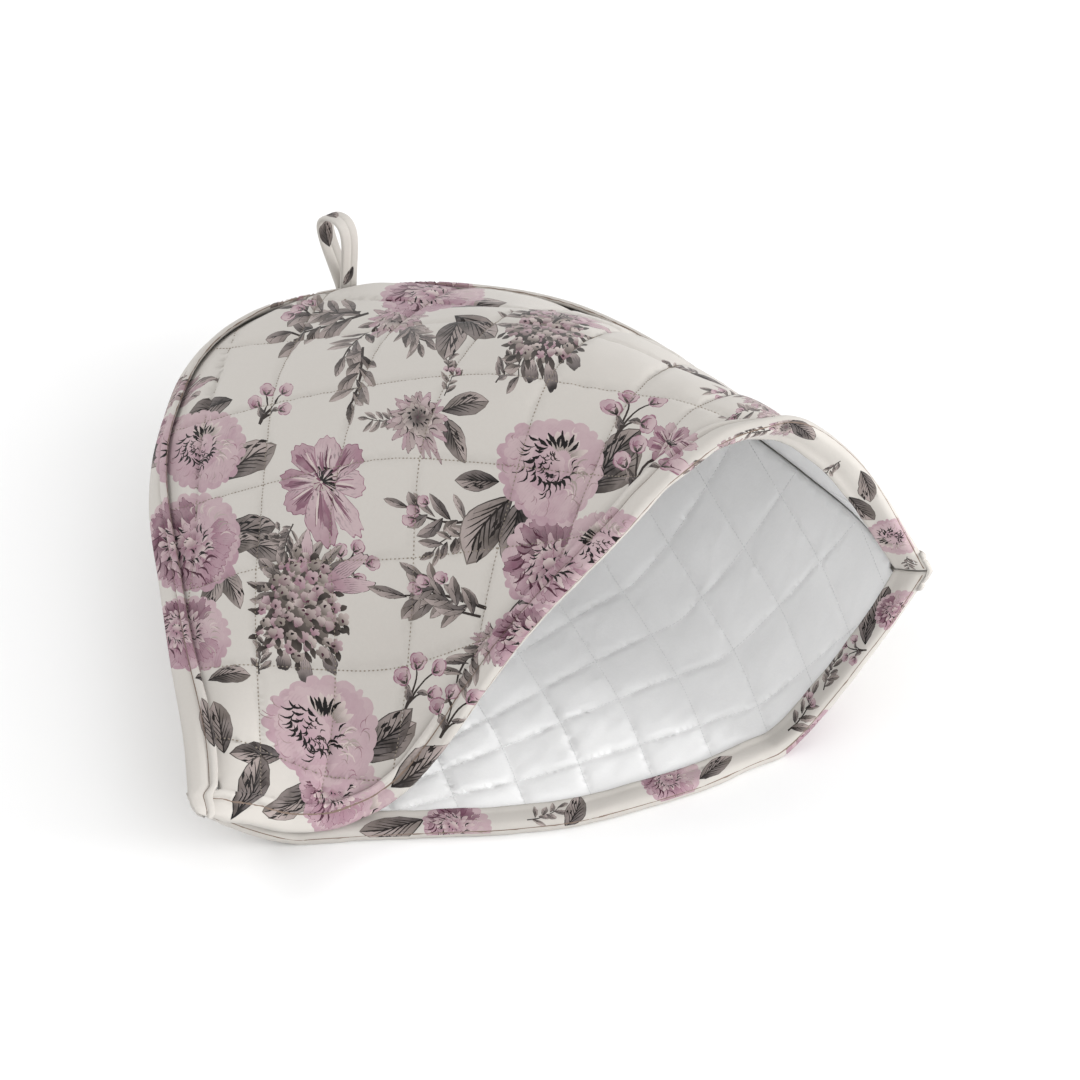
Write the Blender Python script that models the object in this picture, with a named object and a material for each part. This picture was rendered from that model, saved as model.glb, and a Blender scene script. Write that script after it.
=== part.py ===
"""A quilted tea cosy of two dome-shaped panels, lying on its back panel with its mouth open.

Metres, +Z up. X runs along the hem from the low left corner to the high right corner, Y from the
mouth to the top seam where the hanging loop is sewn in, and the origin is under the middle of the
whole on the surface it lies on. Each panel is a surface that is lofted through cross-rows between
its two dome seams, and every piece of cloth is a layer at its own distance from that surface.
"""
import math

import bpy
import numpy as np
from mathutils import Matrix, Vector

NAME = "tea_cosy"

# Cloth thicknesses, the play between two layers, and that inside a binding.
PLY = 0.0003
SLACK = 0.0008
WADDED = 0.0027
FLATTENED = 0.0012
LINING = 0.0010
BINDING = 0.0010
# The panel's middle surface lies this far over what the back panel rests on.
LIFT = PLY / 2 + WADDED
# Widths of the bindings, and of the strip and gap of the hanging loop.
HEM_BAND = 0.0106
SEAM_BAND = 0.0092
LOOP_STRIP = 0.0075
LOOP_THICK = 0.0018
LOOP_RISE = 0.0300
LOOP_SPREAD = 0.0125
LOOP_FOOT = 0.0050
# Quilting: the pitch of the diagonal stitch lines on the flat panel and the slant of each family.
QUILT_PITCH = 0.0330
QUILT_SLANT_A = math.radians(52)
QUILT_SLANT_B = math.radians(-38)

# Dome seams, hem end to top: fraction of the seam, x, y, z.
LEFT_SEAM = (
    (0.000, 0.0020, 0.0100, 0.0400),
    (0.100, 0.0090, 0.0400, 0.0400),
    (0.230, 0.0185, 0.0800, 0.0405),
    (0.360, 0.0290, 0.1200, 0.0410),
    (0.495, 0.0400, 0.1600, 0.0410),
    (0.600, 0.0515, 0.1900, 0.0405),
    (0.670, 0.0625, 0.2100, 0.0400),
    (0.750, 0.0785, 0.2300, 0.0400),
    (0.810, 0.0915, 0.2420, 0.0400),
    (0.865, 0.1065, 0.2500, 0.0400),
    (0.920, 0.1240, 0.2540, 0.0400),
    (1.000, 0.1490, 0.2550, 0.0400),
)
RIGHT_SEAM = (
    (0.000, 0.2817, 0.0080, 0.0685),
    (0.100, 0.2790, 0.0400, 0.0650),
    (0.230, 0.2705, 0.0800, 0.0590),
    (0.360, 0.2600, 0.1200, 0.0530),
    (0.495, 0.2490, 0.1600, 0.0480),
    (0.600, 0.2375, 0.1900, 0.0445),
    (0.670, 0.2265, 0.2100, 0.0425),
    (0.750, 0.2110, 0.2300, 0.0410),
    (0.810, 0.1985, 0.2420, 0.0400),
    (0.865, 0.1845, 0.2500, 0.0400),
    (0.920, 0.1700, 0.2540, 0.0400),
    (1.000, 0.1490, 0.2550, 0.0400),
)
# Front panel: fraction of the seam, rise over the seams, where its peak is, fullness.
FRONT_ROWS = (
    (0.00, 0.085, 0.66, 0.85),
    (0.13, 0.083, 0.63, 0.80),
    (0.30, 0.075, 0.61, 0.78),
    (0.46, 0.059, 0.58, 0.76),
    (0.63, 0.032, 0.51, 0.72),
    (0.77, 0.015, 0.50, 0.70),
    (1.00, 0.000, 0.50, 0.70),
)
# Stitched edge of the front hem: fraction across, y, height.
FRONT_HEM = (
    (0.000, 0.0100, 0.0400),
    (0.075, 0.0105, 0.0318),
    (0.145, 0.0120, 0.0200),
    (0.200, 0.0130, 0.0160),
    (0.245, 0.0145, 0.0170),
    (0.290, 0.0160, 0.0225),
    (0.335, 0.0180, 0.0340),
    (0.400, 0.0200, 0.0565),
    (0.480, 0.0220, 0.0820),
    (0.600, 0.0235, 0.1125),
    (0.690, 0.0240, 0.1355),
    (0.750, 0.0240, 0.1425),
    (0.830, 0.0225, 0.1400),
    (0.905, 0.0190, 0.1205),
    (0.955, 0.0135, 0.0965),
    (1.000, 0.0080, 0.0685),
)
# Stitched edge of the back hem: fraction across, y.
BACK_HEM = (
    (0.00, 0.0100),
    (0.12, 0.0140),
    (0.22, 0.0110),
    (0.33, 0.0060),
    (0.43, -0.0010),
    (0.53, -0.0050),
    (0.67, -0.0030),
    (0.79, 0.0040),
    (0.90, 0.0080),
    (1.00, 0.0080),
)
# Where the corners of the mouth reach from the stitched edge, and how far the front hem turns out.
LEFT_TIP = (-0.0020, -0.0100, 0.0000)
RIGHT_TIP = (0.0060, -0.0075, 0.0030)
HEM_FLARE = (
    (0.00, 0.0),
    (0.70, 0.0),
    (0.80, 30.0),
    (0.90, 70.0),
    (1.00, 70.0),
)
# How far the hem's own shape reaches up the panels.
HEM_REACH = 0.10
# Where the back panel leaves the surface, as a share of the way to the seam, left and right.
BELLY_LEFT, BELLY_RIGHT = 0.70, 0.58


def eased(table, t, column):
    """A smooth curve without overshoot through one column of a table whose first column is t."""
    rows = np.asarray(table, float)
    x, y = rows[:, 0], rows[:, column]
    step = np.diff(x)
    slope = np.diff(y) / step
    tangent = np.zeros(len(x))
    tangent[0], tangent[-1] = slope[0], slope[-1]
    for i in range(1, len(x) - 1):
        if slope[i - 1] * slope[i] > 0:
            a, b = 2 * step[i] + step[i - 1], step[i] + 2 * step[i - 1]
            tangent[i] = (a + b) / (a / slope[i - 1] + b / slope[i])
    t = np.clip(np.asarray(t, float), x[0], x[-1])
    i = np.clip(np.searchsorted(x, t, side="right") - 1, 0, len(x) - 2)
    s = (t - x[i]) / step[i]
    ends = y[i] * (1 + 2 * s) * (1 - s) ** 2 + y[i + 1] * s * s * (3 - 2 * s)
    return ends + step[i] * (tangent[i] * s * (1 - s) ** 2 - tangent[i + 1] * s * s * (1 - s))


def smooth(a):
    a = np.clip(a, 0, 1)
    return a * a * (3 - 2 * a)


def seam(table, v):
    return np.stack([eased(table, v, c) for c in (1, 2, 3)], -1)


def bump(u, peak, fullness):
    return np.clip(np.sin(np.pi * u ** (np.log(0.5) / np.log(peak))), 0, 1) ** fullness


def front(u, v):
    """The front panel's middle surface: u from the left seam to the right, v from hem to top."""
    left, right = seam(LEFT_SEAM, v), seam(RIGHT_SEAM, v)
    place = left + (right - left) * u[..., None]
    rise, peak, fullness = (eased(FRONT_ROWS, v, c) for c in (1, 2, 3))
    place[..., 2] += rise * bump(u, peak, fullness)
    first_left, first_right = seam(LEFT_SEAM, 0), seam(RIGHT_SEAM, 0)
    plain = first_left + (first_right - first_left) * u[..., None]
    plain[..., 2] += FRONT_ROWS[0][1] * bump(u, FRONT_ROWS[0][2], FRONT_ROWS[0][3])
    share = 1 - smooth(left[..., 1] / HEM_REACH)
    start = 1 - smooth(first_left[1] / HEM_REACH)
    for axis, column in ((1, 1), (2, 2)):
        place[..., axis] += share / start * (eased(FRONT_HEM, u, column) - plain[..., axis])
    return place


def back(u, v):
    """The back panel's middle surface: flat where it lies, and rising to the seams."""
    left, right = seam(LEFT_SEAM, v), seam(RIGHT_SEAM, v)
    place = left + (right - left) * u[..., None]
    across = 2 * u - 1
    along = left[..., 1] / LEFT_SEAM[-1][2]
    out = np.sqrt(across**2 * (1 - along**2) + along**2)
    belly = (BELLY_LEFT + BELLY_RIGHT) / 2 + (BELLY_RIGHT - BELLY_LEFT) / 2 * across
    climb = np.clip((out - belly) / (1 - belly), 0, 1) ** 1.5
    first_left, first_right = seam(LEFT_SEAM, 0), seam(RIGHT_SEAM, 0)
    plain = first_left[1] + (first_right[1] - first_left[1]) * u
    share = (1 - smooth(left[..., 1] / HEM_REACH)) / (1 - smooth(first_left[1] / HEM_REACH))
    place[..., 1] += share * (eased(BACK_HEM, u, 1) - plain)
    place[..., 2] = LIFT + (place[..., 2] - LIFT) * climb
    return place


# How far the layers reach over the middle surface, outwards and inwards.
PANEL_IN = PLY / 2
PANEL_OUT = PANEL_IN + FLATTENED
BAND_IN = PANEL_OUT + SLACK
BAND_OUT = BAND_IN + BINDING
SEAM_IN = BAND_IN + PLY
SEAM_OUT = SEAM_IN + BINDING
LINING_IN = PLY / 2
LINING_OUT = LINING_IN + LINING
LEG_IN = LINING_OUT + SLACK
LEG_OUT = LEG_IN + BINDING
# Cut edges inside the bindings: from the fold at the hem, and from the dome seam.
EDGE_AT_HEM = 0.0020
EDGE_AT_SEAM = 0.0017
EDGE_AT_CORNER = 0.0090
TOP_ROW = 0.90
FRONT_COLUMNS, FRONT_FIELD_ROWS = 28, 22
BACK_COLUMNS, BACK_FIELD_ROWS = 24, 16
# Which way the stitched hem leaves the left seam and the right one, in plan.
HEM_WAY = {1: (1.0, 0.02), -1: (-0.92, 0.40)}
# A mitre at a corner of the mouth is cut off at this many times the layer's own distance.
MITRE = 1.6


def unit(a):
    return a / np.maximum(np.linalg.norm(a, axis=-1, keepdims=True), 1e-12)


def strip_direction(surface, u, side):
    """Which way the band leaves the stitched hem edge: on along the panel, and turned out."""
    zero = np.zeros_like(u)
    down = unit(surface(u, zero) - surface(u, zero + 0.02))
    along = unit(surface(np.clip(u + 0.01, 0, 1), zero) - surface(np.clip(u - 0.01, 0, 1), zero))
    out = side * unit(np.cross(along, -down))
    turn = np.radians(eased(HEM_FLARE, u, 1) if side > 0 else zero)[..., None]
    way = np.cos(turn) * down + np.sin(turn) * out
    near_left = (1 - smooth(u / 0.10))[..., None]
    near_right = (1 - smooth((1 - u) / 0.08))[..., None]
    way = way * (1 - near_left) + unit(np.array(LEFT_TIP)) * near_left
    way = way * (1 - near_right) + unit(np.array(RIGHT_TIP)) * near_right
    return unit(way)


def extended(surface, u, v, side):
    """The panel's surface, with v < 0 running down the band: v is then minus the distance."""
    field = surface(u, np.maximum(v, 0))
    strip = strip_direction(surface, u, side) * np.maximum(-v, 0)[..., None]
    return field + strip


def normals(surface, u, v, side):
    """Outward unit normals of the extended surface, from its slopes over a few millimetres."""
    step_u = 0.008
    ahead = extended(surface, np.clip(u + step_u, 0, 1), v, side)
    behind = extended(surface, np.clip(u - step_u, 0, 1), v, side)
    above = extended(surface, u, np.where(v < -0.003, v + 0.003, np.maximum(v, 0) + 0.01), side)
    below = extended(surface, u, np.where(v > 0.01, v - 0.01, np.minimum(v, 0) - 0.003), side)
    return side * unit(np.cross(ahead - behind, above - below))


def mesh_object(name, places, faces, colour, roughness):
    mesh = bpy.data.meshes.new(name)
    mesh.from_pydata([tuple(p) for p in places], [], faces)
    mesh.validate()
    mesh.shade_smooth()
    mesh.set_sharp_from_angle(angle=math.radians(50))
    material = bpy.data.materials.new(name)
    material.use_nodes = True
    shader = material.node_tree.nodes["Principled BSDF"]
    shader.inputs["Base Color"].default_value = (*colour, 1)
    shader.inputs["Roughness"].default_value = roughness
    shader.inputs["Metallic"].default_value = 0.0
    mesh.materials.append(material)
    piece = bpy.data.objects.new(name, mesh)
    bpy.data.collections[NAME].objects.link(piece)
    return piece


def layer(name, outer, inner, flip, colour, roughness):
    """A sheet of cloth between two grids of places, closed along its four edges."""
    rows, columns = outer.shape[:2]
    places = np.concatenate([outer.reshape(-1, 3), inner.reshape(-1, 3)])
    shift = rows * columns
    faces = []
    for j in range(rows - 1):
        for i in range(columns - 1):
            a, b = j * columns + i, j * columns + i + 1
            c, d = b + columns, a + columns
            for corner in ((a, b, c), (a, c, d)):
                faces.append(corner)
                faces.append(tuple(k + shift for k in corner[::-1]))
    edge = [i for i in range(columns)]
    edge += [j * columns + columns - 1 for j in range(1, rows)]
    edge += [(rows - 1) * columns + i for i in range(columns - 2, -1, -1)]
    edge += [j * columns for j in range(rows - 2, 0, -1)]
    for a, b in zip(edge, edge[1:] + edge[:1]):
        faces.append((b, a, a + shift, b + shift))
    if flip:
        faces = [face[::-1] for face in faces]
    return mesh_object(name, places, faces, colour, roughness)


def swept(name, sections, flip, colour, roughness):
    """A closed profile that changes along its way, with a cap at each end."""
    stations, points = sections.shape[:2]
    faces = []
    for k in range(stations - 1):
        for i in range(points):
            a, b = k * points + i, k * points + (i + 1) % points
            faces.append((a, b, b + points, a + points))
    faces.append(tuple(range(points))[::-1])
    faces.append(tuple((stations - 1) * points + i for i in range(points)))
    if flip:
        faces = [face[::-1] for face in faces]
    return mesh_object(name, sections.reshape(-1, 3), faces, colour, roughness)


def flat_places(place):
    """Where each place of a grid lies on the flat panel: across from the middle, and up."""
    steps = np.linalg.norm(np.diff(place, axis=1), axis=-1)
    across = np.concatenate([np.zeros((len(place), 1)), np.cumsum(steps, axis=1)], axis=1)
    across -= across[:, -1:] / 2
    rise = np.linalg.norm(np.diff(place[:, place.shape[1] // 2], axis=0), axis=-1)
    up = np.concatenate([[0], np.cumsum(rise)])
    return across, np.repeat(up[:, None], place.shape[1], axis=1)


def quilted(across, up):
    """How full the wadding stands, 0 on a stitch line and 1 in the middle of a cell."""
    full = 1.0
    for slant in (QUILT_SLANT_A, QUILT_SLANT_B):
        place = (across * math.cos(slant) + up * math.sin(slant)) / QUILT_PITCH
        full = full * np.abs(np.sin(np.pi * place)) ** 0.6
    return full


def shares(columns):
    """Fractions across a row, closer together near its ends."""
    even = np.linspace(0, 1, columns)
    return even / 2 + (1 - np.cos(np.pi * even)) / 4


def panel_grid(surface, side, columns, v_rows):
    """A grid of places on a panel from the band's fold to the top, and its outward normals."""
    v = np.asarray(v_rows)[:, None]
    left, right = seam(LEFT_SEAM, np.maximum(v, 0)), seam(RIGHT_SEAM, np.maximum(v, 0))
    ahead_left = unit((seam(LEFT_SEAM, np.clip(v + 0.02, 0, 1)) - left)[..., :2])
    ahead_right = unit((seam(RIGHT_SEAM, np.clip(v + 0.02, 0, 1)) - right)[..., :2])
    width = right[..., 0] - left[..., 0]
    edge = np.where(v < 0.02, EDGE_AT_CORNER, EDGE_AT_SEAM)
    start = edge / np.maximum(ahead_left[..., 1], 0.22) / width
    stop = 1 - edge / np.maximum(ahead_right[..., 1], 0.22) / width
    u = start + (stop - start) * shares(columns)[None, :]
    vv = np.repeat(v, columns, axis=1)
    place = extended(surface, u, vv, side)
    return place, normals(surface, u, vv, side)


def rows_up(field):
    """Row positions: two down the band, then evenly up the field to the top row."""
    down = (EDGE_AT_HEM - HEM_BAND, -HEM_BAND / 2)
    return np.concatenate([down, np.linspace(0, TOP_ROW, field)])


def seam_distance(place):
    """How far each place of a grid is from the dome seam."""
    v = np.linspace(0, 1, 120)
    line = np.concatenate([seam(LEFT_SEAM, v), seam(RIGHT_SEAM, v)])
    return np.linalg.norm(place[..., None, :] - line, axis=-1).min(axis=-1)


def outer_panel(name, surface, side, columns, field_rows):
    v_rows = rows_up(field_rows)
    place, out = panel_grid(surface, side, columns, v_rows)
    across, up = flat_places(place)
    from_seam = seam_distance(place) - SEAM_BAND
    from_hem = np.repeat(v_rows[:, None], columns, axis=1) * 0.3
    clear = smooth(np.minimum(from_seam, from_hem) / 0.006)
    thick = FLATTENED + (WADDED - FLATTENED) * clear * quilted(across, up)
    outer = place + out * (PANEL_IN + thick)[..., None]
    outer[..., 2] = np.maximum(outer[..., 2], 0)
    return layer(name, outer, place + out * PANEL_IN, side < 0, (0.80, 0.77, 0.74), 0.85)


def lining(name, surface, side, columns, field_rows):
    place, out = panel_grid(surface, side, columns, rows_up(field_rows))
    for grid in (place, out):
        grid[:, 0], grid[:, -1] = (grid[:, 0] + grid[:, 1]) / 2, (grid[:, -1] + grid[:, -2]) / 2
    place, out = place[:-1], out[:-1]
    near, far = place - out * LINING_IN, place - out * LINING_OUT
    return layer(name, near, far, side < 0, (0.86, 0.87, 0.88), 0.8)


def mitre_section(surfaces, side, corner, down, reach):
    """The band's profile in the plane that halves a corner of the mouth."""
    u = np.full(len(down), float(corner))
    inner = np.full(len(down), 0.04 if corner == 0 else 0.96)
    tip = extended(surfaces[side], u, -down, side)
    own = unit(extended(surfaces[side], inner, -down, side) - tip)
    other = unit(extended(surfaces[-side], inner, -down, -side) - tip)
    halving = unit(own + other)
    sine = np.linalg.norm(own - other, axis=-1) / 2
    length = np.minimum(1 / sine, MITRE)[:, None] * reach[:, None]
    return tip - halving * length + unit(own - other) * PLY


def hem_binding(name, surfaces, side, stations):
    """A strip folded over the raw hem of one panel, mitred at both corners of the mouth."""
    nose = 0.0013
    profile = (
        (0.0, BAND_OUT),
        (HEM_BAND / 2, BAND_OUT),
        (HEM_BAND - nose, BAND_OUT),
        (HEM_BAND - nose / 4, BAND_OUT * 0.6),
        (HEM_BAND, 0.0001),
        (HEM_BAND - nose / 4, -LEG_OUT * 0.6),
        (HEM_BAND - nose, -LEG_OUT),
        (HEM_BAND / 2, -LEG_OUT),
        (0.0, -LEG_OUT),
        (0.0, -LEG_IN),
        (HEM_BAND / 2, -LEG_IN),
        (HEM_BAND - nose, -LEG_IN),
        (HEM_BAND - nose, BAND_IN),
        (HEM_BAND / 2, BAND_IN),
        (0.0, BAND_IN),
    )
    down, reach = (np.array(column) for column in zip(*profile))
    edge = EDGE_AT_CORNER / (RIGHT_SEAM[0][1] - LEFT_SEAM[0][1])
    u, v = np.meshgrid(edge + (1 - 2 * edge) * shares(stations)[1:-1], -down, indexing="ij")
    sections = extended(surfaces[side], u, v, side)
    sections = sections + normals(surfaces[side], u, v, side) * reach[:, None]
    first = mitre_section(surfaces, side, 0, down, reach)
    last = mitre_section(surfaces, side, 1, down, reach)
    sections = np.concatenate([first[None], sections, last[None]])
    sections[..., 2] = np.maximum(sections[..., 2], 0)
    return swept(name, sections, side < 0, (0.78, 0.73, 0.72), 0.85)


def on_surface(surface, x, y):
    """The place of a panel's surface over or under a point of the plan."""
    v_fine = np.linspace(0, 1, 801)
    y_fine = seam(LEFT_SEAM, v_fine)[:, 1]
    aim = y.copy()
    for _ in range(8):
        v = np.interp(aim, y_fine, v_fine)
        left, right = seam(LEFT_SEAM, v), seam(RIGHT_SEAM, v)
        width = np.maximum(right[..., 0] - left[..., 0], 1e-6)
        u = np.clip((x - left[..., 0]) / width, 0, 1)
        place = surface(u, v)
        aim = aim + (y - place[..., 1])
    return place


def seam_leg(surface, tip, inward, along, side, distances):
    """Places on a panel at given distances from the dome seam, with their outward normals."""
    plan = np.linspace(0, 0.016, 65)
    x, y = (tip[a] + inward[a] * plan for a in (0, 1))
    line = on_surface(surface, x, y)
    line[0] = tip
    run = np.concatenate([[0], np.cumsum(np.linalg.norm(np.diff(line, axis=0), axis=1))])
    slope = unit(np.gradient(line, axis=0))
    at = np.stack([np.interp(distances, run, line[:, a]) for a in range(3)], -1)
    way = unit(np.stack([np.interp(distances, run, slope[:, a]) for a in range(3)], -1))
    out = unit(np.cross(way, along))
    return at, out * np.where(out[:, 2:] * side > 0, 1, -1)


def seam_binding(name, stations):
    """One strip folded over the raw edges of both panels, from one corner over the top."""
    first = 0.0030
    v = np.linspace(first, 1, stations)
    rows = [(LEFT_SEAM, a) for a in v] + [(RIGHT_SEAM, a) for a in v[-2::-1]]
    distances = np.array([0.0011, SEAM_BAND * 0.35, SEAM_BAND * 0.67, SEAM_BAND])
    sections = []
    for table, a in rows:
        tip = seam(table, a)
        ends = [seam(table, min(max(a + step, 0), 1)) for step in (-0.01, 0.01)]
        along = unit(ends[1] - ends[0])
        if a == 1:
            along = np.array([1.0, 0.0, 0.0])
        turn = 1 if table is LEFT_SEAM else -1
        inward = turn * np.array([along[1], -along[0]])
        inward = np.array([0.0, -1.0]) if a == 1 else unit(inward)
        low_down = 1 - smooth(a / 0.06)
        inward = unit(inward * (1 - low_down) + np.array(HEM_WAY[turn]) * low_down)
        top, top_out = seam_leg(front, tip, inward, along, 1, distances)
        low, low_out = seam_leg(back, tip, inward, along, -1, distances)
        nose = unit(top_out[0] + low_out[0])
        out_in = np.arange(len(distances))
        section = [top[k] + top_out[k] * SEAM_OUT for k in out_in[::-1]]
        section += [tip + nose * SEAM_OUT]
        section += [low[k] + low_out[k] * SEAM_OUT for k in out_in]
        section += [low[k] + low_out[k] * SEAM_IN for k in out_in[::-1]]
        section += [tip + nose * SEAM_IN]
        section += [top[k] + top_out[k] * SEAM_IN for k in out_in]
        sections.append(section)
    sections = np.array(sections)
    sections[..., 2] = np.maximum(sections[..., 2], 0)
    return swept(name, sections, True, (0.78, 0.73, 0.72), 0.85)


def hanging_loop(name):
    """A narrow doubled strip bent into a teardrop, both ends on the top of the dome seam."""
    turn = math.radians(20)
    lean = math.radians(30)
    width_way = np.array([math.cos(turn), math.sin(turn), 0.0])
    rise = np.array([-math.sin(turn) * math.sin(lean), math.cos(turn) * math.sin(lean), math.cos(lean)])
    rise = unit(rise)
    spread = unit(np.cross(width_way, rise))
    foot = seam(LEFT_SEAM, 1.0) + rise * (SEAM_OUT + LOOP_FOOT)
    steps = 22
    centre = []
    for k in range(steps + 1):
        way = 2 * k / steps - 1
        up = LOOP_RISE * (1 - abs(way) ** 2.2)
        aside = LOOP_SPREAD / 2 * math.sin(math.pi * way) + LOOP_THICK * 0.6 * way**5
        centre.append((up, aside))
    centre = np.array(centre)
    along = unit(np.gradient(centre, axis=0))
    sections = []
    for (up, aside), (a, b) in zip(centre, along):
        middle = foot + rise * up + spread * aside
        face = rise * -b + spread * a
        half, thick = width_way * LOOP_STRIP / 2, face * LOOP_THICK / 2
        soft = 0.88
        sections.append(
            [
                middle + half * soft + thick,
                middle + half,
                middle + half * soft - thick,
                middle - half * soft - thick,
                middle - half,
                middle - half * soft + thick,
            ]
        )
    return swept(name, np.array(sections), False, (0.78, 0.75, 0.71), 0.85)


def clear_scene():
    for piece in list(bpy.data.objects):
        bpy.data.objects.remove(piece, do_unlink=True)


def centre_on_floor():
    """Moves every piece so that the whole stands over the origin, its lowest points at zero."""
    pieces = list(bpy.data.collections[NAME].objects)
    corners = [Vector(corner) for piece in pieces for corner in piece.bound_box]
    low = [min(corner[axis] for corner in corners) for axis in range(3)]
    high = [max(corner[axis] for corner in corners) for axis in range(3)]
    middle = Vector(((low[0] + high[0]) / 2, (low[1] + high[1]) / 2, low[2]))
    for piece in pieces:
        piece.data.transform(Matrix.Translation(-middle))
    print("moved by", [round(-value, 6) for value in middle])


def main():
    clear_scene()
    bpy.context.scene.collection.children.link(bpy.data.collections.new(NAME))
    surfaces = {1: front, -1: back}
    outer_panel("front_panel", front, 1, FRONT_COLUMNS, FRONT_FIELD_ROWS)
    outer_panel("back_panel", back, -1, BACK_COLUMNS, BACK_FIELD_ROWS)
    lining("front_lining", front, 1, FRONT_COLUMNS, FRONT_FIELD_ROWS)
    lining("back_lining", back, -1, BACK_COLUMNS, BACK_FIELD_ROWS)
    hem_binding("front_hem_binding", surfaces, 1, FRONT_COLUMNS)
    hem_binding("back_hem_binding", surfaces, -1, BACK_COLUMNS)
    seam_binding("seam_binding", 23)
    hanging_loop("hanging_loop")
    centre_on_floor()


main()
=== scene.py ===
"""Dressed model of a quilted tea cosy that lies on its back panel with its mouth open.

Metres, +Z up, in the frame's own place. X runs along the hem from the low left corner to the high
right corner, and Y from the mouth to the top seam. Every piece of cloth is a layer at its own
distance from one of two lofted surfaces, and what is printed on it is cut into its own mesh.
"""
import logging
import math
from dataclasses import dataclass, field, replace
from enum import Enum
from typing import Callable, Iterable, Sequence

import bmesh
import bpy
import numpy as np
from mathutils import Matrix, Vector
from mathutils.geometry import delaunay_2d_cdt
from mathutils.kdtree import KDTree


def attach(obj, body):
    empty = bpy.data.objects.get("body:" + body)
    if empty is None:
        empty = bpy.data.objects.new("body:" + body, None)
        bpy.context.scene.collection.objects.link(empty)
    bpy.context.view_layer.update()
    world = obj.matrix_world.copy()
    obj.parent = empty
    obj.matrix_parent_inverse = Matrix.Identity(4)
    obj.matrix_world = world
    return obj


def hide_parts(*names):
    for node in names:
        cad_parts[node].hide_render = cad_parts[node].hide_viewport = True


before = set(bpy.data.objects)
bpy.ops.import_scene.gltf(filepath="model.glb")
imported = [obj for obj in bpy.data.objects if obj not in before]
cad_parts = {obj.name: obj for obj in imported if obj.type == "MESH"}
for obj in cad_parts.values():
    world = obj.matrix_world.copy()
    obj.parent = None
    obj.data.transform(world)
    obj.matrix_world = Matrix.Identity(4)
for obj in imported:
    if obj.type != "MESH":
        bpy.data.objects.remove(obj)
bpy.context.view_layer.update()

log = logging.getLogger("tea_cosy")
Array = np.ndarray
Rows = tuple[tuple[float, ...], ...]
Colour = tuple[float, float, float]
Flat = tuple[float, float]

MM = 0.001
# Grid that the print's borders are set on, least height over the floor, how far inside a band's
# own edges its print begins, the spacing of a band's places along its way, and how many places
# are measured at a time.
PRINT_GRAIN = 0.00018
ON_FLOOR = 0.00005
BAND_MARGIN = 0.3 * MM
BAND_PITCH = 0.0018
BATCH = 4000
WHITE = (1.0, 1.0, 1.0)


class Side(Enum):
    """The two panels, with the sign of their outward side."""

    FRONT = 1
    BACK = -1


# ---------------------------------------------------------------- small maths


def smooth(value: Array | float) -> Array:
    """Eases a value from 0 to 1 with flat ends."""
    value = np.clip(value, 0, 1)
    return value * value * (3 - 2 * value)


def unit(vectors: Array) -> Array:
    """Scales vectors on the last axis to length one."""
    return vectors / np.maximum(np.linalg.norm(vectors, axis=-1, keepdims=True), 1e-12)


def eased(table: Rows, t: Array | float, column: int) -> Array:
    """Reads a smooth curve without overshoot through one column of a table.

    Args:
        table: Rows that start with the running value.
        t: Running values to read at.
        column: The column to read.

    Returns:
        The column's value at each t.
    """
    rows = np.asarray(table, float)
    x, y = rows[:, 0], rows[:, column]
    step = np.diff(x)
    slope = np.diff(y) / step
    tangent = np.zeros(len(x))
    tangent[0], tangent[-1] = slope[0], slope[-1]
    for i in range(1, len(x) - 1):
        if slope[i - 1] * slope[i] > 0:
            a, b = 2 * step[i] + step[i - 1], step[i] + 2 * step[i - 1]
            tangent[i] = (a + b) / (a / slope[i - 1] + b / slope[i])
    t = np.clip(np.asarray(t, float), x[0], x[-1])
    i = np.clip(np.searchsorted(x, t, side="right") - 1, 0, len(x) - 2)
    s = (t - x[i]) / step[i]
    ends = y[i] * (1 + 2 * s) * (1 - s) ** 2 + y[i + 1] * s * s * (3 - 2 * s)
    return ends + step[i] * (tangent[i] * s * (1 - s) ** 2 - tangent[i + 1] * s * s * (1 - s))


def running_length(points: Array) -> Array:
    """Length run along a polyline at each of its points."""
    steps = np.linalg.norm(np.diff(points, axis=0), axis=-1)
    return np.concatenate([[0.0], np.cumsum(steps)])


def grid_read(grid: Array, row: Array, column: Array) -> Array:
    """Reads a grid between its rows and columns.

    Args:
        grid: Values with rows on the first axis and columns on the second.
        row: Row places, as fractions of a row number.
        column: Column places.

    Returns:
        Bilinear values.
    """
    r = np.clip(row, 0, grid.shape[0] - 1.000001)
    c = np.clip(column, 0, grid.shape[1] - 1.000001)
    i, j = r.astype(int), c.astype(int)
    a, b = r - i, c - j
    if grid.ndim == 3:
        a, b = a[..., None], b[..., None]
    low = grid[i, j] * (1 - b) + grid[i, j + 1] * b
    high = grid[i + 1, j] * (1 - b) + grid[i + 1, j + 1] * b
    return low * (1 - a) + high * a


def spun(turn: float) -> Array:
    """The matrix that turns flat places by an angle in radians."""
    c, s = math.cos(turn), math.sin(turn)
    return np.array([[c, -s], [s, c]])


def polar(turn: float, out: float, centre: Flat = (0.0, 0.0)) -> Flat:
    """The place in one direction from a centre, at a distance."""
    return centre[0] + math.cos(turn) * out, centre[1] + math.sin(turn) * out


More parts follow.
